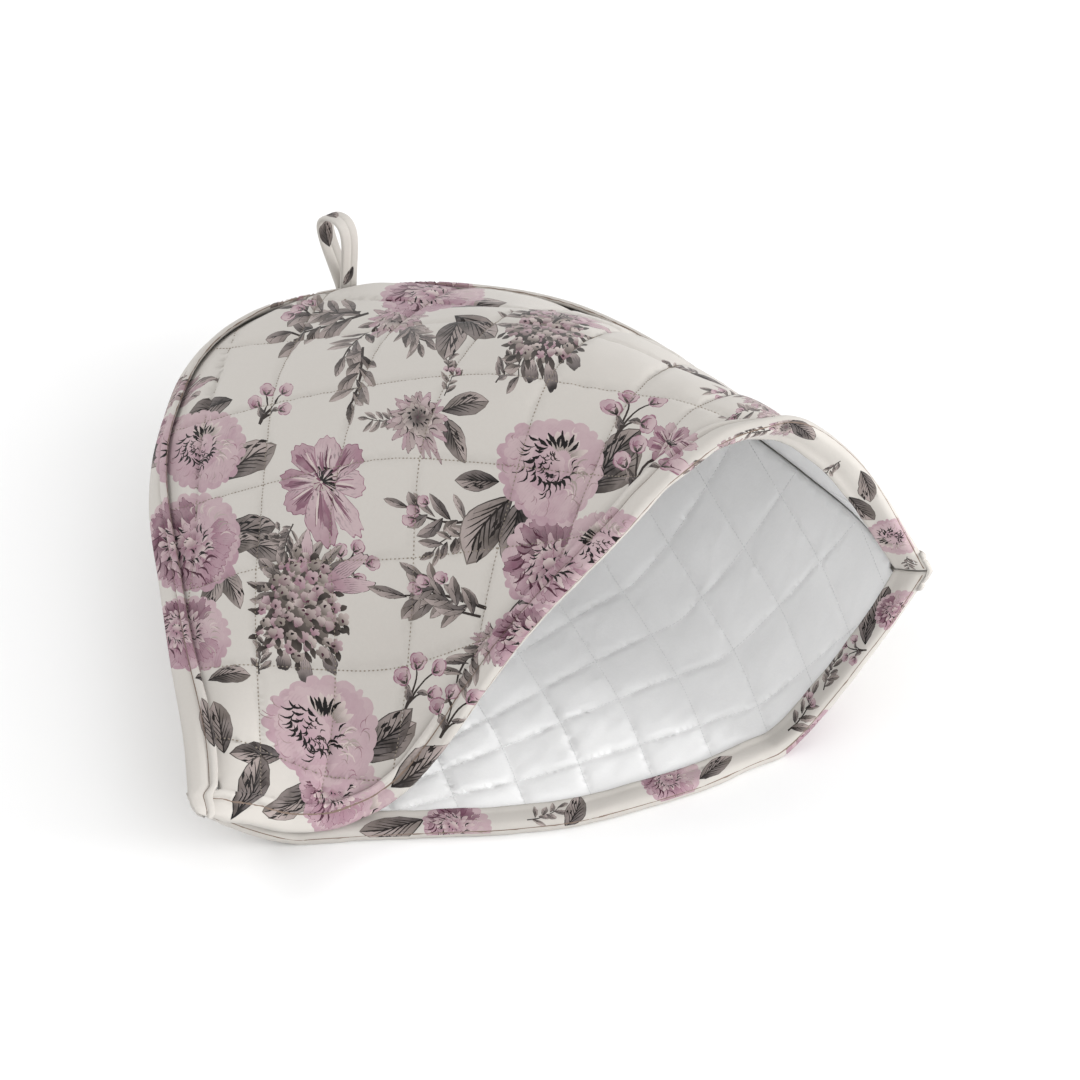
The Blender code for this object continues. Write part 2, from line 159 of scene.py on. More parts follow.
def ripple(x: Array, y: Array, pitch: float, seed: int) -> Array:
    """A soft uneven swell from a few crossed waves, about -1 to 1.

    Args:
        x: First flat coordinate.
        y: Second flat coordinate.
        pitch: Rough distance from swell to swell.
        seed: Fixes the waves.

    Returns:
        The swell at each place.
    """
    draw = np.random.default_rng(seed)
    total = np.zeros_like(np.asarray(x, float))
    waves = 7
    for _ in range(waves):
        turn, phase = draw.uniform(0, 2 * math.pi, 2)
        wave = 2 * math.pi / (pitch * draw.uniform(0.6, 1.7))
        total = total + np.sin(wave * (x * math.cos(turn) + y * math.sin(turn)) + phase)
    return total / math.sqrt(waves)


# ---------------------------------------------------------------- the form


@dataclass(frozen=True)
class Layers:
    """Cloth thicknesses, and how far each layer stands over or under the middle surface."""

    ply: float = 0.0003
    slack: float = 0.0008
    wadded: float = 0.0027
    flattened: float = 0.0012
    lining: float = 0.0010
    binding: float = 0.0010

    @property
    def panel_in(self) -> float:
        """Inner face of an outer panel."""
        return self.ply / 2

    @property
    def panel_out(self) -> float:
        """Outer face of a panel where a binding holds it flat."""
        return self.panel_in + self.flattened

    @property
    def band_in(self) -> float:
        """Inner face of a hem band's outer leg."""
        return self.panel_out + self.slack

    @property
    def band_out(self) -> float:
        """Outer face of a hem band."""
        return self.band_in + self.binding

    @property
    def seam_in(self) -> float:
        """Inner face of the seam band."""
        return self.band_in + self.ply

    @property
    def seam_out(self) -> float:
        """Outer face of the seam band."""
        return self.seam_in + self.binding

    @property
    def lining_in(self) -> float:
        """Face of the lining that lies on the panel."""
        return self.ply / 2

    @property
    def lining_out(self) -> float:
        """Face of the lining that shows in the mouth."""
        return self.lining_in + self.lining

    @property
    def leg_in(self) -> float:
        """Near face of a hem band's inner leg."""
        return self.lining_out + self.slack

    @property
    def leg_out(self) -> float:
        """Far face of a hem band's inner leg."""
        return self.leg_in + self.binding


LAYERS = Layers()


@dataclass(frozen=True)
class Form:
    """The middle surfaces of both panels, lofted through cross-rows between the dome seams."""

    hem_band: float = 0.0106
    seam_band: float = 0.0082
    hem_reach: float = 0.10
    halvings: int = 17
    belly: Flat = (0.70, 0.58)
    left_tip: tuple[float, float, float] = (-0.0020, -0.0100, 0.0000)
    right_tip: tuple[float, float, float] = (0.0060, -0.0075, 0.0030)
    centre: tuple[float, float, float] = (0.143323, 0.131285, 0.0)
    # Dome seams, hem end to top: fraction of the seam, x, y, z.
    left_seam: Rows = (
        (0.000, 0.0026, 0.0100, 0.0400),
        (0.100, 0.0116, 0.0400, 0.0400),
        (0.230, 0.0211, 0.0800, 0.0405),
        (0.360, 0.0311, 0.1200, 0.0410),
        (0.495, 0.0412, 0.1600, 0.0410),
        (0.600, 0.0527, 0.1897, 0.0405),
        (0.670, 0.0637, 0.2096, 0.0400),
        (0.750, 0.0782, 0.2303, 0.0400),
        (0.810, 0.0908, 0.2410, 0.0404),
        (0.865, 0.1058, 0.2463, 0.0408),
        (0.920, 0.1236, 0.2475, 0.0408),
        (1.000, 0.1490, 0.2481, 0.0400),
    )
    right_seam: Rows = (
        (0.000, 0.2817, 0.0080, 0.0685),
        (0.100, 0.2790, 0.0400, 0.0650),
        (0.230, 0.2705, 0.0800, 0.0590),
        (0.360, 0.2600, 0.1200, 0.0530),
        (0.495, 0.2490, 0.1600, 0.0480),
        (0.600, 0.2375, 0.1900, 0.0445),
        (0.670, 0.2265, 0.2094, 0.0420),
        (0.750, 0.2110, 0.2264, 0.0394),
        (0.810, 0.1985, 0.2354, 0.0380),
        (0.865, 0.1845, 0.2411, 0.0379),
        (0.920, 0.1700, 0.2442, 0.0384),
        (1.000, 0.1490, 0.2481, 0.0400),
    )
    # Front panel: fraction of the seam, rise over the seams, where its peak is, fullness.
    front_rows: Rows = (
        (0.00, 0.085, 0.66, 0.85),
        (0.13, 0.083, 0.63, 0.78),
        (0.30, 0.076, 0.61, 0.74),
        (0.46, 0.060, 0.58, 0.72),
        (0.63, 0.034, 0.51, 0.70),
        (0.77, 0.019, 0.50, 0.68),
        (0.90, 0.010, 0.50, 0.66),
        (1.00, 0.000, 0.50, 0.70),
    )
    # Stitched edge of the front hem: fraction across, y, height.
    front_hem: Rows = (
        (0.000, 0.0100, 0.0400),
        (0.075, 0.0105, 0.0318),
        (0.145, 0.0120, 0.0200),
        (0.200, 0.0130, 0.0160),
        (0.245, 0.0145, 0.0170),
        (0.290, 0.0160, 0.0225),
        (0.335, 0.0180, 0.0340),
        (0.400, 0.0200, 0.0565),
        (0.480, 0.0220, 0.0820),
        (0.600, 0.0235, 0.1125),
        (0.690, 0.0240, 0.1355),
        (0.750, 0.0240, 0.1425),
        (0.830, 0.0225, 0.1385),
        (0.905, 0.0190, 0.1180),
        (0.955, 0.0135, 0.0945),
        (1.000, 0.0080, 0.0685),
    )
    # Stitched edge of the back hem: fraction across, y.
    back_hem: Rows = (
        (0.00, 0.0100),
        (0.05, 0.0185),
        (0.12, 0.0215),
        (0.22, 0.0160),
        (0.33, 0.0072),
        (0.43, -0.0008),
        (0.53, -0.0050),
        (0.67, -0.0030),
        (0.79, 0.0040),
        (0.90, 0.0080),
        (1.00, 0.0080),
    )
    # How far the front hem turns out: fraction across, degrees.
    hem_flare: Rows = (
        (0.00, -20.0),
        (0.05, -34.0),
        (0.12, -40.0),
        (0.22, -38.0),
        (0.32, -34.0),
        (0.40, -12.0),
        (0.50, 0.0),
        (0.70, 0.0),
        (0.80, 30.0),
        (0.90, 70.0),
        (1.00, 70.0),
    )

    def seam(self, table: Rows, v: Array | float) -> Array:
        """Places on a dome seam at fractions v."""
        return np.stack([eased(table, v, c) for c in (1, 2, 3)], -1) - self.centre

    def seams(self, v: Array | float) -> tuple[Array, Array]:
        """Places on the left and the right dome seam at fractions v."""
        return self.seam(self.left_seam, v), self.seam(self.right_seam, v)

    def rise(self, u: Array, v: Array | float) -> Array:
        """How high the front panel stands over the line between its seams."""
        height, peak, fullness = (eased(self.front_rows, v, c) for c in (1, 2, 3))
        arch = np.sin(np.pi * u ** (np.log(0.5) / np.log(peak)))
        return height * np.clip(arch, 0, 1) ** fullness

    def hem_share(self, y: Array | float) -> Array:
        """How much of the hem's own shape a place takes on, from its distance up the panel."""
        start = self.left_seam[0][2]
        return (1 - smooth(y / self.hem_reach)) / (1 - smooth(start / self.hem_reach))

    def front(self, u: Array, v: Array) -> Array:
        """The front panel: u from the left seam to the right, v from the hem to the top."""
        left, right = self.seams(v)
        place = left + (right - left) * u[..., None]
        place[..., 2] += self.rise(u, v)
        first_left, first_right = self.seams(0)
        plain = first_left + (first_right - first_left) * u[..., None]
        plain[..., 2] += self.rise(u, 0)
        share = self.hem_share(left[..., 1] + self.centre[1])
        for axis in (1, 2):
            hem = eased(self.front_hem, u, axis) - self.centre[axis]
            place[..., axis] += share * (hem - plain[..., axis])
        return place

    def back(self, u: Array, v: Array) -> Array:
        """The back panel: flat where it lies, and rising to the seams."""
        left, right = self.seams(v)
        place = left + (right - left) * u[..., None]
        across = 2 * u - 1
        y = left[..., 1] + self.centre[1]
        along = y / self.left_seam[-1][2]
        out = np.sqrt(across**2 * (1 - along**2) + along**2)
        belly = sum(self.belly) / 2 + (self.belly[1] - self.belly[0]) / 2 * across
        climb = np.clip((out - belly) / (1 - belly), 0, 1) ** 1.5
        first_left, first_right = (self.seam(t, 0)[1] for t in (self.left_seam, self.right_seam))
        plain = first_left + (first_right - first_left) * u
        hem = eased(self.back_hem, u, 1) - self.centre[1]
        place[..., 1] += self.hem_share(y) * (hem - plain)
        lift = LAYERS.ply / 2 + LAYERS.wadded
        place[..., 2] = lift + (place[..., 2] - lift) * climb
        return place

    def surface(self, side: Side, u: Array, v: Array) -> Array:
        """The middle surface of either panel."""
        return self.front(u, v) if side is Side.FRONT else self.back(u, v)

    def strip_way(self, side: Side, u: Array) -> Array:
        """Which way a hem band leaves the stitched edge: on along the panel, and turned out."""
        zero = np.zeros_like(u)
        down = unit(self.surface(side, u, zero) - self.surface(side, u, zero + 0.02))
        ahead, behind = (self.surface(side, np.clip(u + s, 0, 1), zero) for s in (0.01, -0.01))
        out = side.value * unit(np.cross(unit(ahead - behind), -down))
        flare = eased(self.hem_flare, u, 1) if side is Side.FRONT else zero
        turn = np.radians(flare)[..., None]
        way = np.cos(turn) * down + np.sin(turn) * out
        near_left = (1 - smooth(u / 0.06))[..., None]
        near_right = (1 - smooth((1 - u) / 0.08))[..., None]
        way = way * (1 - near_left) + unit(np.array(self.left_tip)) * near_left
        return unit(way * (1 - near_right) + unit(np.array(self.right_tip)) * near_right)

    def extended(self, side: Side, u: Array, v: Array) -> Array:
        """The surface, with v below 0 running down the hem band as minus the distance."""
        strip = self.strip_way(side, u) * np.maximum(-v, 0)[..., None]
        return self.surface(side, u, np.maximum(v, 0)) + strip

    def normals(self, side: Side, u: Array, v: Array) -> Array:
        """Outward normals, from the slopes over a few millimetres."""
        ahead, behind = (self.extended(side, np.clip(u + s, 0, 1), v) for s in (0.008, -0.008))
        above_v = np.where(v < -0.003, v + 0.003, np.maximum(v, 0) + 0.01)
        below_v = np.where(v > 0.01, v - 0.01, np.minimum(v, 0) - 0.003)
        slope = self.extended(side, u, above_v) - self.extended(side, u, below_v)
        return side.value * unit(np.cross(ahead - behind, slope))

    def on_plan(self, side: Side, x: Array, y: Array) -> Array:
        """The place of a panel's surface over or under points of the plan, found by halving."""
        low, high = np.zeros_like(y), np.ones_like(y)
        for _ in range(self.halvings):
            v = (low + high) / 2
            left, right = self.seams(v)
            width = np.maximum(right[..., 0] - left[..., 0], 1e-6)
            place = self.surface(side, np.clip((x - left[..., 0]) / width, 0, 1), v)
            short = place[..., 1] < y
            low, high = np.where(short, v, low), np.where(short, high, v)
        return place

    def seam_distance(self, places: Array) -> Array:
        """How far each place is from the nearest dome seam."""
        v = np.linspace(0, 1, 160)
        line = np.concatenate(self.seams(v))
        flat = places.reshape(-1, 3)
        near = [
            np.linalg.norm(part[:, None] - line, axis=-1).min(axis=-1)
            for part in np.array_split(flat, max(1, len(flat) // BATCH))
        ]
        return np.concatenate(near).reshape(places.shape[:-1])


FORM = Form()


class Pattern:
    """The flat pattern of one panel: across from its middle line, and up from the hem fold."""

    def __init__(self, side: Side, count: int = 241) -> None:
        """Measures the panel on an even grid.

        Args:
            side: The panel.
            count: Rows and columns of the grid.
        """
        self.count = count
        self.even = np.linspace(0, 1, count)
        v, u = np.meshgrid(self.even, self.even, indexing="ij")
        grid = FORM.surface(side, u, v)
        steps = np.linalg.norm(np.diff(grid, axis=1), axis=-1)
        run = np.concatenate([np.zeros((count, 1)), np.cumsum(steps, axis=1)], axis=1)
        self.width = np.maximum(run[:, -1], 1e-6)
        self.run = run / self.width[:, None]
        self.run[-1] = self.even
        self.share = np.stack([np.interp(self.even, row, self.even) for row in self.run])
        self.rise = running_length(grid[:, count // 2])

    def to_panel(self, across: Array, up: Array) -> tuple[Array, Array]:
        """Turns flat places into surface coordinates u and v."""
        v = np.where(up < 0, up, np.interp(up, self.rise, self.even))
        row = np.clip(v, 0, 1)
        part = across / np.interp(row, self.even, self.width) + 0.5
        u = grid_read(self.share, row * (self.count - 1), part * (self.count - 1))
        return u, v

    def to_flat(self, u: Array, v: Array) -> tuple[Array, Array]:
        """Turns surface coordinates into flat places."""
        row = np.clip(v, 0, 1)
        part = grid_read(self.run, row * (self.count - 1), u * (self.count - 1)) - 0.5
        across = part * np.interp(row, self.even, self.width)
        return across, np.where(v < 0, v, np.interp(row, self.even, self.rise))


PATTERNS = {side: Pattern(side) for side in Side}


@dataclass(frozen=True)
class Edge:
    """Where the cut edges of a panel lie inside its bindings."""

    at_hem: float = 0.0020
    at_seam: float = 0.0017
    at_corner: float = 0.0090
    top_row: float = 0.90
    steepest: float = 0.22

    def span(self, v: Array) -> tuple[Array, Array]:
        """The first and last u of a panel at each row."""
        row = np.maximum(v, 0)
        left, right = FORM.seams(row)
        width = np.maximum(right[..., 0] - left[..., 0], 1e-6)
        edge = np.where(v < 0.02, self.at_corner, self.at_seam)
        share = []
        for table, here in ((FORM.left_seam, left), (FORM.right_seam, right)):
            ahead = unit((FORM.seam(table, np.clip(row + 0.02, 0, 1)) - here)[..., :2])
            share.append(edge / np.maximum(ahead[..., 1], self.steepest) / width)
        return share[0], 1 - share[1]


EDGE = Edge()


# ---------------------------------------------------------------- meshes with print cut in


@dataclass
class Patch:
    """One closed shape of the print, with its own small frame for shading.

    The frame runs from the base along the way: along is 0 at the base and 1 at the far end, and
    across is -1 to 1 over the width.
    """

    outline: Array
    colour: Colour
    tip: Colour
    base: Flat = (0.0, 0.0)
    way: Flat = (0.0, 1.0)
    half_width: float = 1.0
    veins: float = 0.0


@dataclass
class Cut:
    """Triangles of a flat region, each with the patch of print that it lies in."""

    places: Array
    triangles: Array
    owners: Array
    given: list[int]


def within(places: Array, outline: Array) -> Array:
    """Which places lie inside a closed outline.

    Args:
        places: Flat places.
        outline: The outline's corners.

    Returns:
        One truth value for each place.
    """
    x, y = places[:, 0], places[:, 1]
    turns = np.zeros(len(places), int)
    for (ax, ay), (bx, by) in zip(outline.tolist(), np.roll(outline, -1, axis=0).tolist()):
        side = (bx - ax) * (y - ay) - (x - ax) * (by - ay)
        if by > ay:
            turns += (ay <= y) & (by > y) & (side > 0)
        elif by < ay:
            turns -= (ay > y) & (by <= y) & (side < 0)
    return turns != 0


def owners_of(centres: Array, outlines: Sequence[Array]) -> Array:
    """The last of some outlines that each place lies in, or -1."""
    order = np.argsort(centres[:, 0])
    x = centres[order, 0]
    owners = np.full(len(centres), -1)
    for k, outline in enumerate(outlines):
        low, high = outline.min(0), outline.max(0)
        near = order[np.searchsorted(x, low[0]) : np.searchsorted(x, high[0])]
        near = near[(centres[near, 1] > low[1]) & (centres[near, 1] < high[1])]
        if len(near):
            owners[near[within(centres[near], outline)]] = k
    return owners


def triangulated(
    shapes: Sequence[Array], lines: Sequence[Array], pairs: Array, loose: Array
) -> tuple[Array, Array]:
    """Triangulates flat places so that no triangle crosses a given edge.

    Args:
        shapes: Closed outlines.
        lines: Open lines.
        pairs: Single edges, as pairs of places.
        loose: Free places.

    Returns:
        The places and the triangles.
    """
    edges: list[tuple[int, int]] = []
    count = 0
    for shape in shapes:
        edges += [(count + k, count + (k + 1) % len(shape)) for k in range(len(shape))]
        count += len(shape)
    for line in lines:
        edges += [(count + k, count + k + 1) for k in range(len(line) - 1)]
        count += len(line)
    edges += [(count + 2 * k, count + 2 * k + 1) for k in range(len(pairs))]
    places = np.concatenate([*shapes, *lines, pairs.reshape(-1, 2), loose])
    points = [Vector(p) for p in (places / MM).tolist()]
    corners, _, faces, *_ = delaunay_2d_cdt(points, edges, [], 0, 1e-3, False)
    return np.array([tuple(p) for p in corners]) * MM, np.array(faces)


def colour_borders(outline: Array, patches: Sequence[Patch]) -> Array:
    """The parts of the print's outlines that show: where two colours meet.

    Args:
        outline: The region's edge.
        patches: The print, lowest first.

    Returns:
        Edges, as pairs of places.
    """
    if not patches:
        return np.zeros((0, 2, 2))
    outlines = [patch.outline for patch in patches]
    found, triangles = triangulated([outline, *outlines], (), np.zeros((0, 2, 2)), np.zeros((0, 2)))
    owners = owners_of(found[triangles].mean(axis=1), outlines)
    ends = np.concatenate([triangles[:, [0, 1]], triangles[:, [1, 2]], triangles[:, [2, 0]]])
    ends.sort(axis=1)
    owner = np.tile(owners, 3)
    order = np.lexsort((ends[:, 1], ends[:, 0]))
    ends, owner = ends[order], owner[order]
    same = (ends[1:] == ends[:-1]).all(axis=1) & (owner[1:] != owner[:-1])
    edges = np.round(found[ends[1:][same]] / PRINT_GRAIN) * PRINT_GRAIN
    edges = edges[np.abs(edges[:, 0] - edges[:, 1]).max(axis=1) > PRINT_GRAIN / 2]
    return np.unique(edges, axis=0)


def cut_flat(
    outline: Array, inner: Array, patches: Sequence[Patch], creases: Sequence[Array]
) -> Cut:
    """Cuts a flat region into triangles along the borders of the print and the creases.

    Args:
        outline: The region's edge, anticlockwise.
        inner: Free places inside it, for its relief.
        patches: The print, lowest first.
        creases: Lines that triangles don't cross.

    Returns:
        The cut, whose owners are patch numbers and -1 on the bare ground. given holds the place
        number of each point of the outline.
    """
    borders = colour_borders(outline, patches)
    found, triangles = triangulated([outline], creases, borders, inner)
    centres = found[triangles].mean(axis=1)
    keep = within(centres, outline)
    triangles, centres = triangles[keep], centres[keep]
    owners = owners_of(centres, [patch.outline for patch in patches])
    tree = KDTree(len(found))
    for k, place in enumerate(found.tolist()):
        tree.insert((*place, 0.0), k)
    tree.balance()
    given = [tree.find((*place, 0.0))[1] for place in outline.tolist()]
    return Cut(found, triangles, owners, given)


def edge_loop(triangles: Array) -> list[int]:
    """Walks the outer edge of a flat region of triangles, anticlockwise."""
    ends = np.concatenate([triangles[:, [0, 1]], triangles[:, [1, 2]], triangles[:, [2, 0]]])
    known = {(int(a), int(b)) for a, b in ends}
    ahead = {a: b for a, b in known if (b, a) not in known}
    start = min(ahead)
    loop = [start]
    while ahead[loop[-1]] != start:
        loop.append(ahead[loop[-1]])
    return loop


def print_values(cut: Cut, patches: Sequence[Patch], ground: Colour) -> tuple[Array, Array]:
    """Colour and petal frame at each corner of each triangle.

    Args:
        cut: The triangles.
        patches: The print.
        ground: The cloth's own colour.

    Returns:
        Colours with alpha, and vectors of across, along and vein strength.
    """
    corners = cut.places[cut.triangles.ravel()]
    owner = np.repeat(cut.owners, 3)
    colours = np.ones((len(corners), 4))
    colours[:, :3] = ground
    frames = np.zeros((len(corners), 3))
    if len(patches):
        base = np.array([p.base for p in patches])
        way = np.array([p.way for p in patches])
        wide = np.array([p.half_width for p in patches])
        low = np.array([p.colour for p in patches])
        high = np.array([p.tip for p in patches])
        veins = np.array([p.veins for p in patches])
        on = owner >= 0
        k = owner[on]
        away = corners[on] - base[k]
        long = np.linalg.norm(way[k], axis=-1)
        ahead = way[k] / long[:, None]
        along = np.clip((away * ahead).sum(-1) / long, 0, 1.2)
        across = (away[:, 1] * ahead[:, 0] - away[:, 0] * ahead[:, 1]) / wide[k]
        part = smooth(along)[:, None]
        colours[on, :3] = low[k] * (1 - part) + high[k] * part
        frames[on] = np.stack([across, along, veins[k]], -1)
    return colours, frames


def make_object(name: str, places: Array, faces: Sequence[Sequence[int]]) -> bpy.types.Object:
    """A smooth-shaded object in the scene.

    Args:
        name: The piece's name.
        places: Corners.
        faces: Corner numbers of each face.

    Returns:
        The object, with its faces pointing out.
    """
    triangles = np.array([f for f in faces if len(f) == 3])
    if len(triangles):
        a, b, c = (places[triangles[:, k]] for k in range(3))
        volume = (np.cross(a, b) * c).sum()
    else:
        quads = np.array(faces)
        a, b, c, d = (places[quads[:, k]] for k in range(4))
        volume = (np.cross(a, b) * c).sum() + (np.cross(a, c) * d).sum()
    mesh = bpy.data.meshes.new(name)
    mesh.from_pydata(places.tolist(), [], [tuple(int(i) for i in f) for f in faces])
    if volume < 0:
        mesh.flip_normals()
    mesh["turned"] = bool(volume < 0)
    mesh.shade_smooth()
    piece = bpy.data.objects.new(name, mesh)
    bpy.context.scene.collection.objects.link(piece)
    return piece


def corner_attribute(piece: bpy.types.Object, name: str, kind: str, values: Array) -> None:
    """Stores a value at each corner of the first faces of a mesh; the rest get the last value.

    Args:
        piece: The object.
        name: The attribute's name.
        kind: Blender's attribute type.
        values: One row for each corner, in the order in which the faces were given.
    """
    mesh = piece.data
    total = len(mesh.loops)
    full = np.concatenate([values, np.repeat(values[-1:], total - len(values), axis=0)])
    if mesh["turned"]:
        starts = np.array([p.loop_start for p in mesh.polygons])
        sizes = np.array([p.loop_total for p in mesh.polygons])
        order = np.arange(total)
        first = np.repeat(starts, sizes)
        last = first + np.repeat(sizes, sizes) - 1
        inside = order - first
        order = np.where(inside == 0, first, last - inside + 1)
        full = full[order]
    data = mesh.attributes.new(name, kind, "CORNER")
    key = "color" if kind == "FLOAT_COLOR" else "vector"
    data.data.foreach_set(key, full.astype(np.float32).ravel())


def dress_print(
    piece: bpy.types.Object, cut: Cut, patches: Sequence[Patch], ground: Colour, flat: Array
) -> None:
    """Stores the print's colours and frames, and the flat places as the weave's UV map."""
    colours, frames = print_values(cut, patches, ground)
    back = np.array([[*ground, 1.0]])
    corner_attribute(piece, "print_colour", "FLOAT_COLOR", np.concatenate([colours, back]))
    corner_attribute(piece, "petal", "FLOAT_VECTOR", np.concatenate([frames, np.zeros((1, 3))]))
    layer = piece.data.uv_layers.new(name="flat")
    starts = np.zeros(len(piece.data.loops), int)
    piece.data.loops.foreach_get("vertex_index", starts)
    layer.uv.foreach_set("vector", flat[starts].astype(np.float32).ravel())


Placer = Callable[[Array, Array], tuple[Array, Array]]


def printed_sheet(
    name: str,
    outline: Array,
    inner: Array,
    creases: Sequence[Array],
    patches: Sequence[Patch],
    ground: Colour,
    place: Placer,
    coarse: float,
) -> bpy.types.Object:
    """A closed sheet whose outer face carries the print.

    Args:
        name: The piece's name.
        outline: Its cut edge on the flat.
        inner: Free places for its relief.
        creases: Stitch lines.
        patches: The print.
        ground: The cloth's colour.
        place: Turns flat places into places on the outer face and on the inner face.
        coarse: Spacing of the inner face's places.

    Returns:
        The finished object.
    """
    cut = cut_flat(outline, inner, patches, creases)
    loop = edge_loop(cut.triangles)
    ring = cut.places[loop]
    low, high = ring.min(0), ring.max(0)
    x, y = (np.arange(low[a], high[a], coarse) + coarse / 2 for a in (0, 1))
    grid = np.stack(np.meshgrid(x, y), -1).reshape(-1, 2)
    under = cut_flat(ring, grid, (), ())
    outer, _ = place(cut.places[:, 0], cut.places[:, 1])
    _, inner_face = place(under.places[:, 0], under.places[:, 1])
    shift = len(outer)
    faces = [tuple(t) for t in cut.triangles]
    faces += [tuple(int(i) + shift for i in t[::-1]) for t in under.triangles]
    ring_in = [under.given[k] + shift for k in range(len(loop))]
    for k in range(len(loop)):
        n = (k + 1) % len(loop)
        faces.append((loop[n], loop[k], ring_in[k], ring_in[n]))
    piece = make_object(name, np.concatenate([outer, inner_face]), faces)
    dress_print(piece, cut, patches, ground, np.concatenate([cut.places, under.places]))
    return piece


@dataclass
class Tube:
    """A closed profile carried along a way, read by length along and length round."""

    sections: Array
    along: Array = field(init=False)
    round: Array = field(init=False)

    def __post_init__(self) -> None:
        """Measures the way and the profile."""
        closed = np.concatenate([self.sections, self.sections[:, :1]], axis=1)
        self.closed = closed
        self.along = running_length(closed[:, closed.shape[1] // 4])
        steps = np.linalg.norm(np.diff(closed, axis=1), axis=-1).mean(axis=0)
        self.round = np.concatenate([[0.0], np.cumsum(steps)])

    def place(self, along: Array, around: Array) -> Array:
        """Places on the tube at lengths along and round it."""
        row = np.interp(along, self.along, np.arange(len(self.along)))
        column = np.interp(around, self.round, np.arange(len(self.round)))
        return grid_read(self.closed, row, column)


def printed_tube(
    name: str, tube: Tube, pitch: float, patches: Sequence[Patch], ground: Colour
) -> bpy.types.Object:
    """A closed tube of cloth, such as a folded binding, whose face carries the print.

    Args:
        name: The piece's name.
        tube: Its profile and way.
        pitch: Spacing of its places along the way.
        patches: The print, on length along and length round.
        ground: The cloth's colour.

    Returns:
        The finished object.
    """
    length, girth = tube.along[-1], tube.round[-1]
    steps = max(2, int(length / pitch))
    x = np.linspace(0, length, steps + 1)
    rows = np.unique(np.concatenate([tube.round, (tube.round[1:] + tube.round[:-1]) / 2]))
    rows = rows[np.concatenate([[True], np.diff(rows) > 0.05 * MM])]
    rows[-1] = girth
    edge = [(a, 0.0) for a in x] + [(length, b) for b in rows[1:-1]]
    edge += [(a, girth) for a in x[::-1]] + [(0.0, b) for b in rows[-2:0:-1]]
    grid = np.stack(np.meshgrid(x[1:-1], rows[1:-1]), -1).reshape(-1, 2)
    inset = 0.2 * MM
    kept = []
    for patch in patches:
        inside = np.clip(patch.outline, (inset, inset), (length - inset, girth - inset))
        kept.append(replace(patch, outline=inside))
    cut = cut_flat(np.array(edge), grid, kept, ())
    places = tube.place(cut.places[:, 0], cut.places[:, 1])
    weld = np.arange(len(places))
    for k in range(steps + 1):
        near, far = cut.given[k], cut.given[steps + 1 + len(rows) - 2 + (steps - k)]
        weld[far] = near
    faces = [tuple(t) for t in weld[cut.triangles]]
    side = [cut.given[steps + 1 + k] for k in range(len(rows) - 2)]
    faces.append(tuple(reversed([int(weld[cut.given[steps]])] + side)))
    start = 2 * (steps + 1) + len(rows) - 2
    side = [cut.given[start + k] for k in range(len(rows) - 2)]
    faces.append(tuple(reversed([int(weld[cut.given[0]])] + side)))
    piece = make_object(name, places, faces)
    flat = cut.places
    dress_print(piece, cut, kept, ground, flat)
    drop_loose(piece)
    return piece


def line_on(tube: Tube, around: float, width: float, colour: Colour, seed: int) -> Patch:
    """A thin uneven line along the whole of a tube.

    Args:
        tube: The tube.
        around: Length round at which it runs.
        width: Its mean width.
        colour: Its colour.
        seed: Fixes its unevenness.

    Returns:
        The line as a patch.
    """
    draw = np.random.default_rng(seed)
    x = np.arange(0.0004, tube.along[-1] - 0.0004, 0.0021)
    half = width / 2 * draw.uniform(0.55, 1.35, (2, len(x)))
    low = np.stack([x, around - half[0]], -1)
    high = np.stack([x, around + half[1]], -1)
    outline = np.concatenate([low, high[::-1]])
    return Patch(outline, colour, colour, tuple(low[0]), (0.0, width), width)


def drop_loose(piece: bpy.types.Object) -> None:
    """Deletes the corners that no face uses."""
    used = {i for p in piece.data.polygons for i in p.vertices}
    if len(used) == len(piece.data.vertices):
        return
    work = bmesh.new()
    work.from_mesh(piece.data)
    work.verts.ensure_lookup_table()
    spare = [v for v in work.verts if not v.link_faces]
    bmesh.ops.delete(work, geom=spare, context="VERTS")
    work.to_mesh(piece.data)
    work.free()


# ---------------------------------------------------------------- the floral print


def tone(red: int, green: int, blue: int) -> Colour:
    """A screen colour as linear light."""
    return tuple(
        ((c / 255 + 0.055) / 1.055) ** 2.4 if c > 10 else c / 3294.6 for c in (red, green, blue)
    )


@dataclass(frozen=True)
class Inks:
    """The print's colours."""

    cream: Colour = tone(192, 178, 174)
    blush: Colour = tone(182, 161, 164)
    pink: Colour = tone(167, 139, 148)
    rose: Colour = tone(142, 104, 119)
    plum: Colour = tone(112, 66, 87)
    wine: Colour = tone(68, 30, 46)
    black: Colour = tone(9, 4, 4)
    slate: Colour = tone(46, 38, 35)
    leaf: Colour = tone(106, 97, 91)
    mist: Colour = tone(140, 130, 123)
    haze: Colour = tone(166, 153, 149)


INKS = Inks()


def shade(low: Colour, high: Colour, share: float) -> Colour:
    """A colour between two."""
    return tuple(a + (b - a) * share for a, b in zip(low, high))


